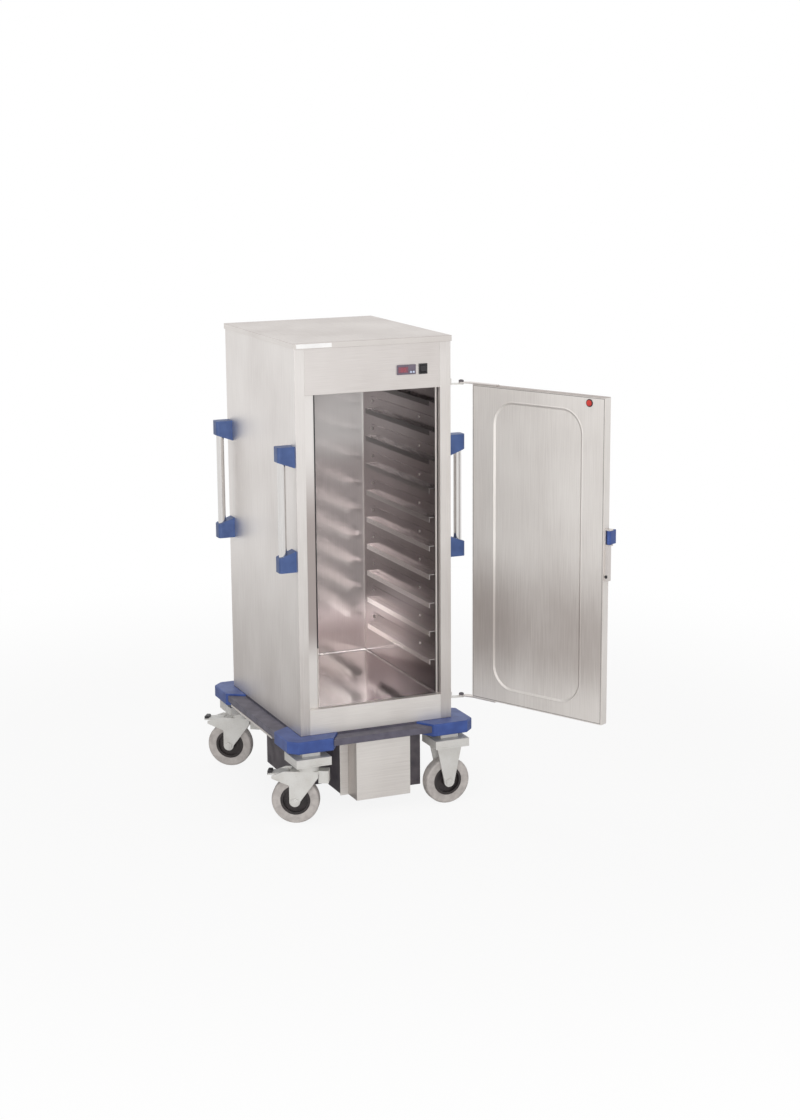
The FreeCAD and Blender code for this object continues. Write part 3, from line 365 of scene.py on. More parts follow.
def satinPan(name):
    look = Finish(name)
    lines = look.noise(lengthwise, 1, brushing["fine"])
    cloud = look.noise(even, pan["cloud"], brushing["soft"])
    shade = look.ramp(pan["lines"] * lines + pan["clouds"] * cloud, *pan["fade"])
    brightTone, paintedReflection = (look.tint(shade, pan[key]) for key in ("brightTone", "paintedReflection"))
    # painted reflection: the pan darkens towards the right wall
    reflectionMask = look.ramp(look.along("X") - pan["slant"] * look.along("Y"), *pan["reflectionMask"])
    return look.surface(Base_Color=look.mix(reflectionMask, brightTone, paintedReflection), Metallic=pan["metal"],
                        Roughness=look.around(pan["rough"], pan["spread"], lines),
                        Normal=look.bump(lines, pan["bump"], brushing["depth"]))


# Tubes, plated steel and bare metal

tube = {
    "grain": (500, 500, 20),
    "detail": 2,
    "tones": ((226, 224, 222), (204, 201, 199)),
    "rough": 0.14,
    "spread": 0.08,
}


def polishedTube(name):
    look = Finish(name)
    lines = look.noise(tube["grain"], 1, tube["detail"])
    return look.surface(Base_Color=look.tint(lines, tube["tones"]), Metallic=1.0,
                        Roughness=tube["rough"] + tube["spread"] * lines)


zinc = {
    "crystals": 420,
    "cloud": 22,
    "detail": 3,
    "shares": (0.25, 0.75),            # of crystals and clouds
    "fade": (0.25, 0.85),
    "tones": ((218, 217, 214), (200, 197, 192)),
    "metal": 0.35,
    "rough": 0.40,
    "spread": 0.14,
    "bump": 0.03,
    "depth": 0.3 * mm,
}


def zincPlate(name):
    look = Finish(name)
    spots = {"Vector": look.place(), "Scale": zinc["crystals"]}
    crystals = look.node("ShaderNodeTexVoronoi", {}, spots, out="Distance")
    cloud = look.noise(even, zinc["cloud"], zinc["detail"])
    crystalShare, cloudShare = zinc["shares"]
    shade = look.ramp(crystalShare * crystals + cloudShare * cloud, *zinc["fade"])
    return look.surface(Base_Color=look.tint(shade, zinc["tones"]), Metallic=zinc["metal"],
                        Roughness=zinc["rough"] + zinc["spread"] * cloud,
                        Normal=look.bump(crystals, zinc["bump"], zinc["depth"]))


cast = {"grain": 420, "detail": 4, "metal": 0.9, "spread": 0.15, "bump": 0.3, "depth": 0.6 * mm}
castMetals = {
    "element_sheath": {"tones": ((150, 140, 132), (104, 92, 86)), "rough": 0.4},
    "motor_case": {"tones": ((176, 177, 178), (140, 141, 143)), "rough": 0.45},
    "fan_metal": {"tones": ((214, 214, 215), (186, 186, 188)), "rough": 0.35},
}


def castMetal(name, tones, rough):
    look = Finish(name)
    grain = look.noise(even, cast["grain"], cast["detail"])
    return look.surface(Base_Color=look.tint(grain, tones), Metallic=cast["metal"],
                        Roughness=rough + cast["spread"] * grain,
                        Normal=look.bump(grain, cast["bump"], cast["depth"]))


# Plastics, paint, rubber and wool

plastic = {"pebble": 1100, "cloud": 26, "detail": 3, "fade": (0.25, 0.8), "spread": 0.14, "depth": 0.3 * mm}
plastics = {
    "blue_plastic": {"tones": ((60, 85, 150), (47, 68, 128)), "rough": 0.42},
    "slate_plastic": {"tones": ((98, 95, 108), (76, 73, 86)), "rough": 0.48},
    "dark_rim": {"tones": ((58, 52, 52), (40, 36, 37)), "rough": 0.45},
    "dark_housing": {"tones": ((96, 90, 95), (70, 66, 72)), "rough": 0.55, "grain": 0.3},
    "black_plastic": {"tones": ((46, 44, 47), (32, 31, 34)), "rough": 0.4},
    "pale_key": {"tones": ((206, 214, 232), (184, 192, 216)), "rough": 0.4},
    "red_cap": {"tones": ((214, 62, 50), (178, 44, 38)), "rough": 0.3},
    "deck_paint": {"tones": ((92, 89, 100), (72, 69, 80)), "rough": 0.5},
    "bracket_blue": {"tones": ((71, 93, 142), (56, 76, 122)), "rough": 0.44},
    "bezel_grey": {"tones": ((112, 102, 116), (92, 84, 98)), "rough": 0.4},
    "plate_face": {"tones": ((244, 243, 242), (232, 231, 230)), "rough": 0.35, "grain": 0.05},
    "seam_grey": {"tones": ((150, 144, 142), (134, 128, 126)), "rough": 0.6, "grain": 0.05},
}


def mouldedPlastic(name, tones, rough, grain=0.14):
    look = Finish(name)
    pebble = look.noise(even, plastic["pebble"], plastic["detail"])
    cloud = look.noise(even, plastic["cloud"], plastic["detail"])
    return look.surface(Base_Color=look.tint(look.ramp(cloud, *plastic["fade"]), tones),
                        Roughness=look.around(rough, plastic["spread"], cloud),
                        Normal=look.bump(pebble, grain, plastic["depth"]))


rubber = {
    "dust": 55,
    "dustDetail": 4,
    "speck": 900,
    "speckDetail": 2,
    "shares": (0.7, 0.3),              # of dust and specks
    "fade": (0.3, 0.75),
    "tones": ((190, 184, 180), (160, 154, 151)),
    "rough": 0.66,
    "spread": 0.2,
    "bump": 0.2,
    "depth": 0.3 * mm,
}


def wheelRubber(name):
    look = Finish(name)
    dust = look.noise(even, rubber["dust"], rubber["dustDetail"])
    speck = look.noise(even, rubber["speck"], rubber["speckDetail"])
    dustShare, speckShare = rubber["shares"]
    shade = look.ramp(dustShare * dust + speckShare * speck, *rubber["fade"])
    return look.surface(Base_Color=look.tint(shade, rubber["tones"]),
                        Roughness=look.around(rubber["rough"], rubber["spread"], dust),
                        Normal=look.bump(speck, rubber["bump"], rubber["depth"]))


wool = {
    "strand": (160, 160, 900),
    "detail": 4,
    "tones": ((226, 214, 164), (188, 172, 118)),
    "rough": 0.95,
    "bump": 0.5,
    "depth": 2 * mm,
}


def fibreWool(name):
    look = Finish(name)
    strands = look.noise(wool["strand"], 1, wool["detail"])
    return look.surface(Base_Color=look.tint(strands, wool["tones"]), Roughness=wool["rough"],
                        Normal=look.bump(strands, wool["bump"], wool["depth"]))


# Display

window = {"cloud": 70, "detail": 2, "tones": ((142, 78, 92), (112, 60, 76)), "rough": 0.1, "spread": 0.08,
          "gloss": 0.5}


def tintedWindow(name):
    look = Finish(name)
    cloud = look.noise(even, window["cloud"], window["detail"])
    return look.surface(Base_Color=look.tint(cloud, window["tones"]),
                        Roughness=window["rough"] + window["spread"] * cloud, Coat_Weight=window["gloss"])


segment = {"cloud": 300, "detail": 1, "tones": ((178, 74, 84), (158, 62, 74)), "rough": 0.4, "glow": 0.1}


def litSegment(name):
    look = Finish(name)
    colour = look.tint(look.noise(even, segment["cloud"], segment["detail"]), segment["tones"])
    return look.surface(Base_Color=colour, Roughness=segment["rough"], Emission_Color=colour,
                        Emission_Strength=segment["glow"])


# Finishes by slot, with a few for trim, and pieces whose finish differs from the rest of their slot

steels = {name: brushedSteel(name, **sheet) for name, sheet in skinSteels.items()}
trimSteel = steels["trim_steel"]
finishes = {
    "stainless_skin": steels["panel_steel"],
    "stainless_lining": liningSheet("lining_steel"),
    "bright_tube": polishedTube("bright_tube"),
    "zinc_steel": zincPlate("zinc_steel"),
    "grey_tyre": wheelRubber("grey_tyre"),
    "mineral_wool": fibreWool("mineral_wool"),
    "display_tint": tintedWindow("display_tint"),
    "digit_red": litSegment("digit_red"),
}
finishes.update({name: mouldedPlastic(name, **sort) for name, sort in plastics.items()})
finishes.update({name: castMetal(name, **sort) for name, sort in castMetals.items()})

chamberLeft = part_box("left_tray_rails")[0][0]
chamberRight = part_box("right_tray_rails")[1][0]
ownFinish = {
    "top_cover": steels["top_steel"],
    "header_panel": trimSteel,
    "sill_panel": steels["low_steel"],
    "door_shell": steels["shell_steel"],
    "door_inner_panel": steels["door_steel"],
    "hinge_arms": trimSteel,
    "latch_body": trimSteel,
    "left_tray_rails": trayRail("left_rail", chamberLeft, 1),
    "right_tray_rails": trayRail("right_rail", chamberRight, -1),
    "floor_pan": satinPan("pan_steel"),
    "heater_box": steels["heater_steel"],
    "rail_screws": trimSteel,
    "base_deck": finishes["deck_paint"],
    "handle_brackets": finishes["bracket_blue"],
    "thermostat_body": finishes["bezel_grey"],
}


def finishFor(node):
    return ownFinish.get(node, finishes[slotOf[node]])


for node, piece in nodes.items():
    for holder in piece.material_slots:
        holder.material = finishFor(node)
print("finishes made,", len(bpy.data.materials))


# Ways of working that the pieces share

frontSide = (0, -1, 0)
backSide = (0, 1, 0)
rightSide = (1, 0, 0)
topSide = (0, 0, 1)
facing = 0.9             # a face looks to a side from this cosine on
sharpAngle = 35          # degrees, past which an edge is softened or shaded sharp


def hold(piece):
    if bpy.context.mode != "OBJECT":
        bpy.ops.object.mode_set(mode="OBJECT")
    bpy.ops.object.select_all(action="DESELECT")
    piece.select_set(True)
    bpy.context.view_layer.objects.active = piece


def pickFaces(piece, side=None):
    # into edit mode, with the faces selected that look to one side, or all of them
    hold(piece)
    bpy.context.tool_settings.mesh_select_mode = (False, False, True)
    bpy.ops.object.mode_set(mode="EDIT")
    bpy.ops.mesh.select_all(action="DESELECT")
    bpy.ops.object.mode_set(mode="OBJECT")
    for face in piece.data.polygons:
        face.select = side is None or face.normal.dot(Vector(side)) > facing
    bpy.ops.object.mode_set(mode="EDIT")


def drawIn(piece, side, rim, rise):
    # one side gets smaller by a rim and moves out, or in where the rise is negative
    pickFaces(piece, side)
    bpy.ops.mesh.inset(thickness=rim)
    bpy.ops.transform.translate(value=rise * Vector(side))


def raiseBoss(piece, side, rim, rise):
    # one side gets a boss inside a rim
    pickFaces(piece, side)
    bpy.ops.mesh.inset(thickness=rim)
    bpy.ops.mesh.extrude_region_move(TRANSFORM_OT_translate={"value": rise * Vector(side)})


def modify(piece, kind, **settings):
    hold(piece)
    step = piece.modifiers.new(kind.lower(), kind)
    for key, value in settings.items():
        setattr(step, key, value)
    bpy.ops.object.modifier_apply(modifier=step.name)


def softenEdges(piece, width, rounds=2, angle=sharpAngle):
    modify(piece, "BEVEL", width=width, segments=rounds, limit_method="ANGLE",
           angle_limit=math.radians(angle))


def applyPlace(piece):
    hold(piece)
    bpy.ops.object.transform_apply(location=True, rotation=True, scale=True)


def settle(piece, name, body, finish):
    applyPlace(piece)
    bpy.ops.object.shade_smooth_by_angle(angle=math.radians(sharpAngle))
    modify(piece, "WEIGHTED_NORMAL", keep_sharp=True)
    piece.name = name
    piece.data.name = name
    piece.data.materials.clear()
    piece.data.materials.append(finish)
    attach(piece, body)


def block(low, high):
    middle = [(start + end) / 2 for start, end in zip(low, high)]
    bpy.ops.mesh.primitive_cube_add(size=1, location=middle)
    piece = bpy.context.object
    piece.scale = [end - start for start, end in zip(low, high)]
    applyPlace(piece)
    return piece


def drum(sides, radius, height):
    # stands on the floor plane
    middle = (0, 0, height / 2)
    bpy.ops.mesh.primitive_cylinder_add(vertices=sides, radius=radius, depth=height, location=middle)
    piece = bpy.context.object
    applyPlace(piece)
    return piece


def joinUp(pieces):
    hold(pieces[0])
    for piece in pieces:
        piece.select_set(True)
    bpy.ops.object.join()
    return pieces[0]


def outwards(point, direction):
    # stands a piece that was made on the floor plane, rising along +Z, at a point
    return Matrix.Translation(point) @ Vector(direction).to_track_quat("Z", "Y").to_matrix().to_4x4()


def twin(piece, turn):
    # another of the same, with its own mesh, moved by a matrix
    other = bpy.data.objects.new(piece.name, piece.data.copy())
    bpy.context.collection.objects.link(other)
    other.data.transform(turn)
    return other


def spread(master, places, finish):
    # one piece for each name, turn and body, and the master goes
    for name, turn, body in places:
        settle(twin(master, turn), name, body, finish)
    hold(master)
    bpy.ops.object.delete()


# Soft edges: sheet bends, mouldings and turned parts get the small rounding that the solids leave out

corners = ("front_left", "rear_left", "front_right", "rear_right")
swivelCorners = ("front_left", "rear_left")

edgeWidths = {           # mm
    "left_side_panel": 0.7, "right_side_panel": 0.7, "back_panel": 0.5, "top_cover": 0.7, "header_panel": 0.6,
    "sill_panel": 0.7, "floor_pan": 0.5, "left_tray_rails": 0.5, "right_tray_rails": 0.5,
    "door_shell": 0.5, "door_inner_panel": 0.5, "hinge_arms": 0.6, "hinge_brackets": 0.5,
    "latch_body": 0.6, "latch_grip": 1.2, "door_magnet": 0.5,
    "thermostat_body": 0.7, "display_window": 0.2, "key_down": 0.4, "key_up": 0.4,
    "rocker_frame": 0.7, "power_rocker": 0.5,
    "handle_brackets": 1.6, "handle_tubes": 0.3,
    "front_left_bumper": 2.0, "rear_left_bumper": 2.0, "front_right_bumper": 2.0, "rear_right_bumper": 2.0,
    "deck_skirts": 2.0, "castor_mounts": 0.8, "swivel_castor_plates": 0.6,
    "heater_box": 0.7, "underbody_housing": 0.8, "mains_gland": 0.5,
    "front_left_castor_fork": 1.0, "rear_left_castor_fork": 1.0, "fixed_castor_brackets": 1.0,
    "front_left_castor_pedal": 0.8, "rear_left_castor_pedal": 0.8,
    "front_left_castor_axle": 0.6, "rear_left_castor_axle": 0.6, "fixed_castor_axles": 0.6,
}
for corner in corners:
    edgeWidths[corner + "_castor_rim"] = 0.8
    edgeWidths[corner + "_castor_tyre"] = 1.2

merging = {
    "reach": 0.005 * mm,     # points nearer than this are one
    "flat": 0.3,             # faces as flat as this to each other are one, degrees
}


def softCopy(node, width):
    piece = bpy.data.objects.new(node + "_soft", nodes[node].data.copy())
    bpy.context.collection.objects.link(piece)
    hold(piece)
    bpy.ops.mesh.customdata_custom_splitnormals_clear()
    bpy.ops.object.mode_set(mode="EDIT")
    bpy.ops.mesh.select_all(action="SELECT")
    bpy.ops.mesh.remove_doubles(threshold=merging["reach"])
    bpy.ops.mesh.dissolve_limited(angle_limit=math.radians(merging["flat"]))
    bpy.ops.object.mode_set(mode="OBJECT")
    softenEdges(piece, width * mm)
    settle(piece, node + "_soft", bodyOf[node], finishFor(node))
    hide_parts(node)


for node, width in edgeWidths.items():
    softCopy(node, width)
print("soft edges made,", len(edgeWidths))


# Axle nuts, one on each side of each castor

nutForm = {
    "sides": 6,
    "rim": 0.36,             # share of the radius
    "chamfer": 0.08,         # share of the radius
    "edge": 0.4 * mm,
}
axleNut = {"radius": 12.5 * mm, "height": 6 * mm, "stud": 2 * mm, "seat": 31 * mm}


def hexNut(size):
    # a nut with the end of its bolt standing out
    piece = drum(nutForm["sides"], size["radius"], size["height"])
    raiseBoss(piece, topSide, nutForm["rim"] * size["radius"], size["stud"])
    bpy.ops.mesh.inset(thickness=nutForm["chamfer"] * size["radius"])
    softenEdges(piece, nutForm["edge"])
    return piece


def makeAxleNuts():
    places = []
    for corner in corners:
        roll = joints[corner + "_roll"]
        axis = Vector(roll["axis"])
        for side, word in ((1, "inner"), (-1, "outer")):
            spot = Vector(roll["pos_m"]) + side * axleNut["seat"] * axis
            places.append(("%s_%s_axle_nut" % (corner, word), outwards(spot, side * axis), roll["parent"]))
    spread(hexNut(axleNut), places, finishes["zinc_steel"])


makeAxleNuts()
print("axle nuts made")


# Foot caps on the brake pedals

pedalCap = {
    "middle": 119 * mm,      # from the swivel's axis
    "long": 15 * mm,
    "wide": 30 * mm,
    "tall": 13 * mm,
    "ridge": 1.6 * mm,
    "cuts": 3,
    "edge": 1.2 * mm,
    "rounds": 3,
}


def makePedalCaps():
    half = Vector([pedalCap[key] / 2 for key in ("long", "wide", "tall")])
    cap = block(-half, half)
    raiseBoss(cap, topSide, pedalCap["ridge"], pedalCap["ridge"])
    bpy.ops.mesh.subdivide(number_cuts=pedalCap["cuts"])
    softenEdges(cap, pedalCap["edge"], pedalCap["rounds"])
    places = []
    for corner in swivelCorners:
        brake = joints[corner + "_brake"]
        swivel = Vector(joints[corner + "_swivel"]["pos_m"])
        reach = Vector(brake["pos_m"]) - swivel
        level = Vector((0, 0, reach.z))
        reach.z = 0
        spot = swivel + pedalCap["middle"] * reach.normalized() + level
        turn = Matrix.Translation(spot) @ Matrix.Rotation(math.atan2(reach.y, reach.x), 4, "Z")
        places.append((corner + "_pedal_cap", turn, brake["child"]))
    spread(cap, places, finishes["black_plastic"])


makePedalCaps()
print("pedal caps made")


# Bare plate at the left end of the top cover's lip

lipPlate = {
    "start": 8 * mm,         # from the cover's left end
    "long": 114 * mm,
    "tall": 13 * mm,
    "thick": 1 * mm,
    "rim": 1.4 * mm,
    "sunk": 1 / 3,           # share of the thickness
    "edge": 0.25 * mm,
}


def makeLipPlate():
    low, high = (Vector(corner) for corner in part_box("top_cover"))
    left = low.x + lipPlate["start"]
    middle = (low.z + high.z) / 2
    plate = block((left, low.y - lipPlate["thick"], middle - lipPlate["tall"] / 2),
                  (left + lipPlate["long"], low.y, middle + lipPlate["tall"] / 2))
    drawIn(plate, frontSide, lipPlate["rim"], -lipPlate["sunk"] * lipPlate["thick"])
    softenEdges(plate, lipPlate["edge"])
    settle(plate, "lip_plate", "cabinet", finishes["plate_face"])


makeLipPlate()
print("lip plate made")


# Seal strips down both sides of the door recess, from sill to header where no foot or head is given

sealStrips = {           # mm
    "left": {"span": (-190.4, -186.8), "proud": 2.6, "slot": "black_plastic", "foot": 552},
    # left_foot gives the left strip's lower stretch a steel colour: painted reflection
    "left_foot": {"span": (-190.4, -186.8), "proud": 2.6, "slot": "stainless_lining", "head": 550},
    "right": {"span": (211.0, 217.2), "proud": 3.0, "slot": "stainless_lining"},
    # right_shadow is a dark strip standing in for the shadow gap beside the right seal: painted shadow
    "right_shadow": {"span": (217.4, 219.8), "proud": 1.2, "slot": "black_plastic"},
}
sealForm = {"nose": 0.2, "edge": 0.3 * mm, "gap": 1 * mm}      # the nose is a share of the strip's width


def makeSealStrips():
    # each strip is a bar whose front is drawn in to a rounded nose
    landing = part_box("liner_wrap")[0][1]
    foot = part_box("sill_panel")[1][2] + sealForm["gap"]
    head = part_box("header_panel")[0][2] - sealForm["gap"]
    looks = {"black_plastic": finishes["black_plastic"], "stainless_lining": trimSteel}
    for name, strip in sealStrips.items():
        left, right = (value * mm for value in strip["span"])
        half = strip["proud"] * mm / 2
        low = strip["foot"] * mm if "foot" in strip else foot
        high = strip["head"] * mm if "head" in strip else head
        bar = block((left, landing - half, low), (right, landing, high))
        drawIn(bar, frontSide, sealForm["nose"] * (right - left), half)
        softenEdges(bar, sealForm["edge"])
        settle(bar, name + "_seal", "cabinet", looks[strip["slot"]])


makeSealStrips()
print("seal strips made")


# Weld seam where the floor pan meets the back wall and the side walls

panSeam = {
    "front": -296 * mm,
    "back": 300 * mm,
    "floor": 358 * mm,
    "deep": 3 * mm,
    "tall": 4 * mm,
    "rim": 0.75 * mm,
    "edge": 0.5 * mm,
}


def makePanSeam():
    # three bars whose tops are drawn in, joined at the corners
    front, back, deep, floor = (panSeam[key] for key in ("front", "back", "deep", "floor"))
    left = chamberLeft + deep
    right = chamberRight - deep
    half = panSeam["tall"] / 2
    spans = (
        ((chamberLeft, front), (left, back)),
        ((right, front), (chamberRight, back)),
        ((left, back - deep), (right, back)),
    )
    bars = []
    for low, high in spans:
        bar = block((*low, floor), (*high, floor + half))
        drawIn(bar, topSide, panSeam["rim"], half)
        softenEdges(bar, panSeam["edge"])
        bars.append(bar)
    settle(joinUp(bars), "pan_seam", "cabinet", finishes["bright_tube"])


makePanSeam()
print("pan seam made")


# Edge bars under the side skirts

edgeBar = {
    "inner": 300 * mm,
    "outer": 309 * mm,
    "low": 245 * mm,
    "half": 197 * mm,        # half its length
    "lip": 1 * mm,
    "edge": 0.5 * mm,
}


def makeEdgeBars():
    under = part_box("deck_skirts")[0][2]
    bar = block((edgeBar["inner"], -edgeBar["half"], edgeBar["low"]),
                (edgeBar["outer"], edgeBar["half"], under))
    drawIn(bar, rightSide, edgeBar["lip"], -edgeBar["lip"] / 2)
    softenEdges(bar, edgeBar["edge"])
    places = (("left_edge_bar", Matrix.Rotation(math.pi, 4, "Z"), "cabinet"),
              ("right_edge_bar", Matrix.Identity(4), "cabinet"))
    spread(bar, places, trimSteel)


makeEdgeBars()
print("edge bars made")


# What the door carries is made as on a shut door whose pin is the origin, then swung with it

shutDoor = {
    "angle": 116.4,          # how far it stands open at rest, degrees
    "inner": -2 * mm,        # its inner face
    "free": -540 * mm,       # its two upright edges
    "hinge": -43 * mm,
    "low": 350 * mm,
    "high": 1350 * mm,
}
pin = joints["door_swing"]["pos_m"]
swing = Matrix.Rotation(math.radians(shutDoor["angle"]), 4, "Z")
doorTurn = Matrix.Translation((pin[0], pin[1], 0)) @ swing


def doorPlane(side, low, top):
    # a plane on the inner face, this far inside the door's edges
    left = shutDoor["free"] + side
    right = shutDoor["hinge"] - side
    foot = shutDoor["low"] + low
    head = shutDoor["high"] - top
    middle = ((left + right) / 2, shutDoor["inner"], (foot + head) / 2)
    bpy.ops.mesh.primitive_plane_add(size=1, rotation=(-math.pi / 2, 0, 0), location=middle)
    piece = bpy.context.object
    piece.scale = (right - left, head - foot, 1)
    applyPlace(piece)
    pickFaces(piece)
    return piece


fieldBead = {
    "side": 82 * mm,         # the field's edge, inside the door's
    "low": 46 * mm,
    "top": 44 * mm,
    "round": 75 * mm,
    "steps": 14,
    "depth": 3 * mm,
    "outer": 3 * mm,         # from the field's edge out to the rim, and in to the field
    "inner": 7 * mm,
    "crest": 0.8 * mm,
    "thick": 0.6 * mm,
    "edge": 0.5 * mm,
    "angle": 15,             # its slopes are softened too, degrees
}


def makeFieldBead():
    # pressed bead round the door's field: up from the rim, over a crest and down to the field
    grow = fieldBead["outer"]
    crest = fieldBead["crest"]
    bead = doorPlane(*(fieldBead[key] - grow for key in ("side", "low", "top")))
    bpy.ops.mesh.bevel(offset=fieldBead["round"] + grow, segments=fieldBead["steps"], affect="VERTICES")
    pickFaces(bead)
    bpy.ops.mesh.inset(thickness=grow)
    bpy.ops.transform.translate(value=(0, crest, 0))
    bpy.ops.mesh.inset(thickness=fieldBead["inner"])
    bpy.ops.transform.translate(value=(0, -crest - fieldBead["depth"], 0))
    bpy.ops.mesh.delete(type="FACE")
    modify(bead, "SOLIDIFY", thickness=fieldBead["thick"], offset=-1)
    softenEdges(bead, fieldBead["edge"], angle=fieldBead["angle"])
    bead.data.transform(doorTurn)
    settle(bead, "door_field_bead", "door", steels["door_steel"])


makeFieldBead()
print("field bead made")


# Seam between the door's shell and its inner panel

doorSeam = {"inset": 3 * mm, "wide": 2 * mm, "proud": 0.3 * mm}


def makeDoorSeam():
    # a flat frame: a plane whose middle is inset and taken out
    inset = doorSeam["inset"]
    seam = doorPlane(inset, inset, inset)
    bpy.ops.mesh.inset(thickness=doorSeam["wide"])
    bpy.ops.mesh.delete(type="FACE")
    modify(seam, "SOLIDIFY", thickness=doorSeam["proud"], offset=1)
    seam.data.transform(doorTurn)
    settle(seam, "door_seam", "door", finishes["seam_grey"])


makeDoorSeam()
print("door seam made")


# Stud on the latch and ring round the magnet

headForm = {"sides": 32, "rim": 0.4, "edge": 0.3 * mm}       # the rim is a share of the radius
latchStud = {
    "across": -547.5 * mm,
    "face": -7 * mm,
    "level": 812 * mm,
    "radius": 5 * mm,
    "height": 2.4 * mm,
    "dome": 1 * mm,
}
magnetRing = {"radius": 12 * mm, "height": 1.4 * mm, "dome": 0.6 * mm}


def roundHead(size):
    piece = drum(headForm["sides"], size["radius"], size["height"])
    drawIn(piece, topSide, headForm["rim"] * size["radius"], size["dome"])
    softenEdges(piece, headForm["edge"])
    return piece


def makeDoorFittings():
    stud = Vector((latchStud["across"], latchStud["face"], latchStud["level"]))
    low, high = (Vector(corner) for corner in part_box("door_magnet"))
    magnet = doorTurn.inverted() @ ((low + high) / 2)
    magnet.y = shutDoor["inner"]
    for name, size, spot in (("latch_stud", latchStud, stud), ("magnet_ring", magnetRing, magnet)):
        places = [(name, doorTurn @ outwards(spot, backSide), "door")]
        spread(roundHead(size), places, finishes["black_plastic"])


makeDoorFittings()
print("door fittings made")


# Lock nuts on the hinge pins

hingeNut = {"radius": 8 * mm, "height": 5 * mm, "stud": 1.5 * mm, "seat": 0.3 * mm}


def makeHingeNuts():
    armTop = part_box("hinge_arms")[1][2]
    places = []
    for name, level in (("lower_hinge_nut", shutDoor["low"]), ("upper_hinge_nut", armTop)):
        spot = (pin[0], pin[1], level + hingeNut["seat"])
        places.append((name, Matrix.Translation(spot), "cabinet"))
    spread(hexNut(hingeNut), places, finishes["dark_housing"])


makeHingeNuts()
print("hinge nuts made")


# Two plain figures on the display, each with all its strokes

digit = {
    "wide": 5.2 * mm,
    "tall": 10 * mm,
    "pitch": 9 * mm,
    "bar": 1.2 * mm,
    "gap": 1.68 * mm,        # how much shorter a stroke is than its side of the figure
    "thick": 0.4 * mm,
    "rim": 0.24 * mm,
    "rise": 0.1 * mm,
}


def makeDigits():
    low, high = (Vector(corner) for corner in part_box("display_window"))
    middle = (low + high) / 2
    half = digit["tall"] / 2
    lying = (digit["wide"] - digit["gap"], digit["bar"])
    standing = (digit["bar"], half - digit["gap"])
    marks = [(0, up, lying) for up in (-half, 0, half)]
    for side in (-1, 1):
        marks += [(side * digit["wide"] / 2, up, standing) for up in (-half / 2, half / 2)]
    strokes = []
    for figure in (-0.5, 0.5):
        for out, up, (wide, tall) in marks:
            x = middle.x + figure * digit["pitch"] + out
            z = middle.z + up
            stroke = block((x - wide / 2, low.y - digit["thick"], z - tall / 2),
                           (x + wide / 2, low.y, z + tall / 2))
            raiseBoss(stroke, frontSide, digit["rim"], digit["rise"])
            bpy.ops.object.mode_set(mode="OBJECT")
            strokes.append(stroke)
    settle(joinUp(strokes), "display_digits", "cabinet", finishes["digit_red"])


makeDigits()
print("digits made")


# Studio

white = (1, 1, 1, 1)
studio = {
    "ambient": 0.48,         # what the surroundings give to matt surfaces
    "aim": (0.05, 0.0, 0.8),
    "floorSize": 60,
    "floorTone": (0.8, 0.79, 0.78, 1),
    "floorWhite": 0.88,      # how much of the floor's look is plain white
    "fade": (1.2, 3.2),      # the rest fades to white over this reach
    "backdrop": (2.3, 4.0),  # where steel mirrors the white backdrop, no longer the floor
}
lamps = {                # the fill stands where the front lamp does, but steel doesn't mirror it
    "key": {"place": (-3.2, -3.6, 4.2), "size": 3.2, "watts": 40, "mirrored": True},
    "front": {"place": (-2.3, -6.4, 1.9), "size": 1.4, "watts": 65, "mirrored": True},
    "fill": {"place": (-2.3, -6.4, 1.9), "size": 1.4, "watts": 130, "mirrored": False},
    "top": {"place": (0.3, 0.2, 4.6), "size": 2.6, "watts": 30, "mirrored": True},
}


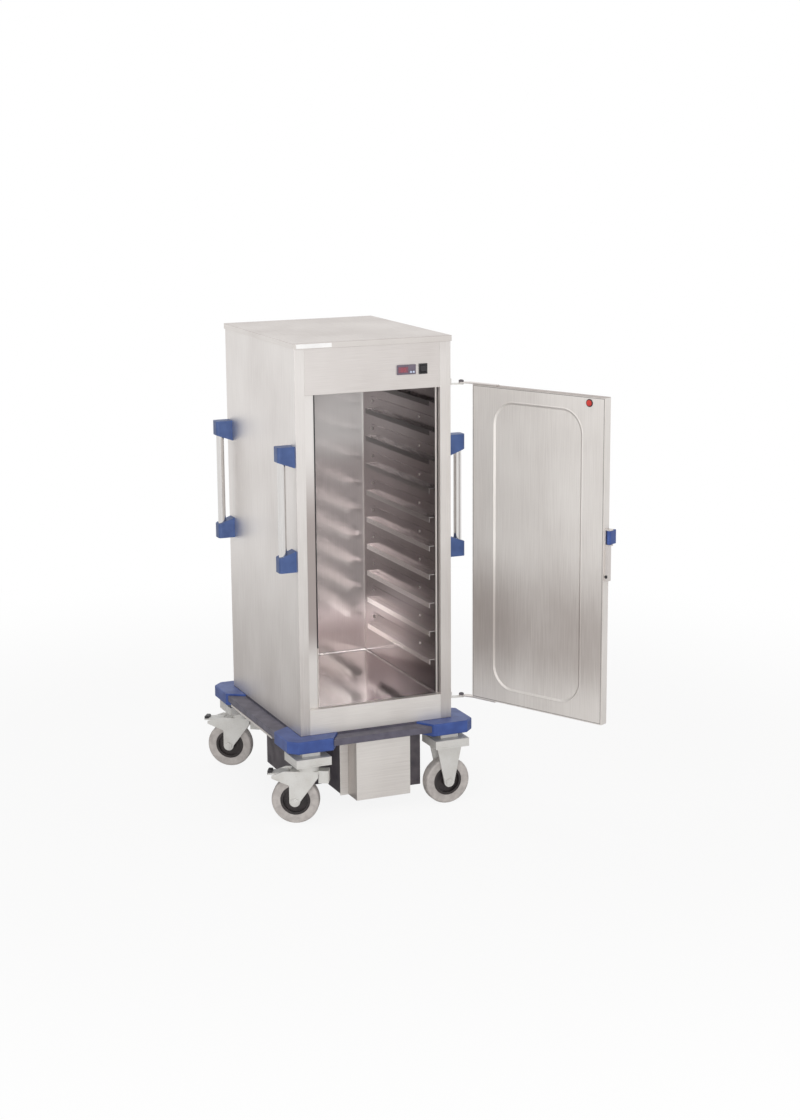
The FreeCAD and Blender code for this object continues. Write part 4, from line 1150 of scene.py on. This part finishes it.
def seenDirectly(look):
    # what the camera sees, and what it sees mirrored or through something clear
    camera, glossy, clear = (look.node("ShaderNodeLightPath", {}, {}, out=name)
                             for name in ("Is Camera Ray", "Is Glossy Ray", "Is Transmission Ray"))
    return camera, look.maths("MAXIMUM", glossy, clear)


def makeWorld():
    look = Finish("studio", bpy.context.scene.world or bpy.data.worlds.new("studio"))
    bpy.context.scene.world = look.owner
    soft = look.node("ShaderNodeBackground", {}, {"Color": white, "Strength": studio["ambient"]})
    plain = look.node("ShaderNodeBackground", {}, {"Color": white, "Strength": 1.0})
    seen = look.maths("MAXIMUM", *seenDirectly(look))
    both = look.node("ShaderNodeMixShader", {}, {0: seen, 1: soft, 2: plain})
    look.node("ShaderNodeOutputWorld", {}, {"Surface": both})


def makeFloor():
    bpy.ops.mesh.primitive_plane_add(size=studio["floorSize"])
    floor = bpy.context.object
    floor.name = "floor"
    look = Finish("pale_floor")
    spot = look.node("ShaderNodeTexCoord", {}, {}, out="Object")
    reach = look.node("ShaderNodeVectorMath", {"operation": "LENGTH"}, {0: spot}, out="Value")
    camera, mirrored = seenDirectly(look)
    seen = camera * (studio["floorWhite"] + (1 - studio["floorWhite"]) * look.ramp(reach, *studio["fade"]))
    share = look.maths("MAXIMUM", seen, mirrored * look.ramp(reach, *studio["backdrop"]))
    matt = look.node("ShaderNodeBsdfDiffuse", {}, {"Color": studio["floorTone"]})
    plain = look.node("ShaderNodeEmission", {}, {"Color": white, "Strength": 1.0})
    both = look.node("ShaderNodeMixShader", {}, {0: share, 1: matt, 2: plain})
    look.node("ShaderNodeOutputMaterial", {}, {"Surface": both})
    floor.data.materials.append(look.owner)


def makeLamp(name, lamp):
    sight = Vector(studio["aim"]) - Vector(lamp["place"])
    turn = sight.to_track_quat("-Z", "Y").to_euler()
    bpy.ops.object.light_add(type="AREA", location=lamp["place"], rotation=turn)
    light = bpy.context.object
    light.name = name + "_lamp"
    light.data.size = lamp["size"]
    light.data.energy = lamp["watts"]
    light.visible_glossy = lamp["mirrored"]


makeWorld()
makeFloor()
for lampName, lamp in lamps.items():
    makeLamp(lampName, lamp)
bpy.context.scene.view_settings.view_transform = "Standard"
print("studio lit")
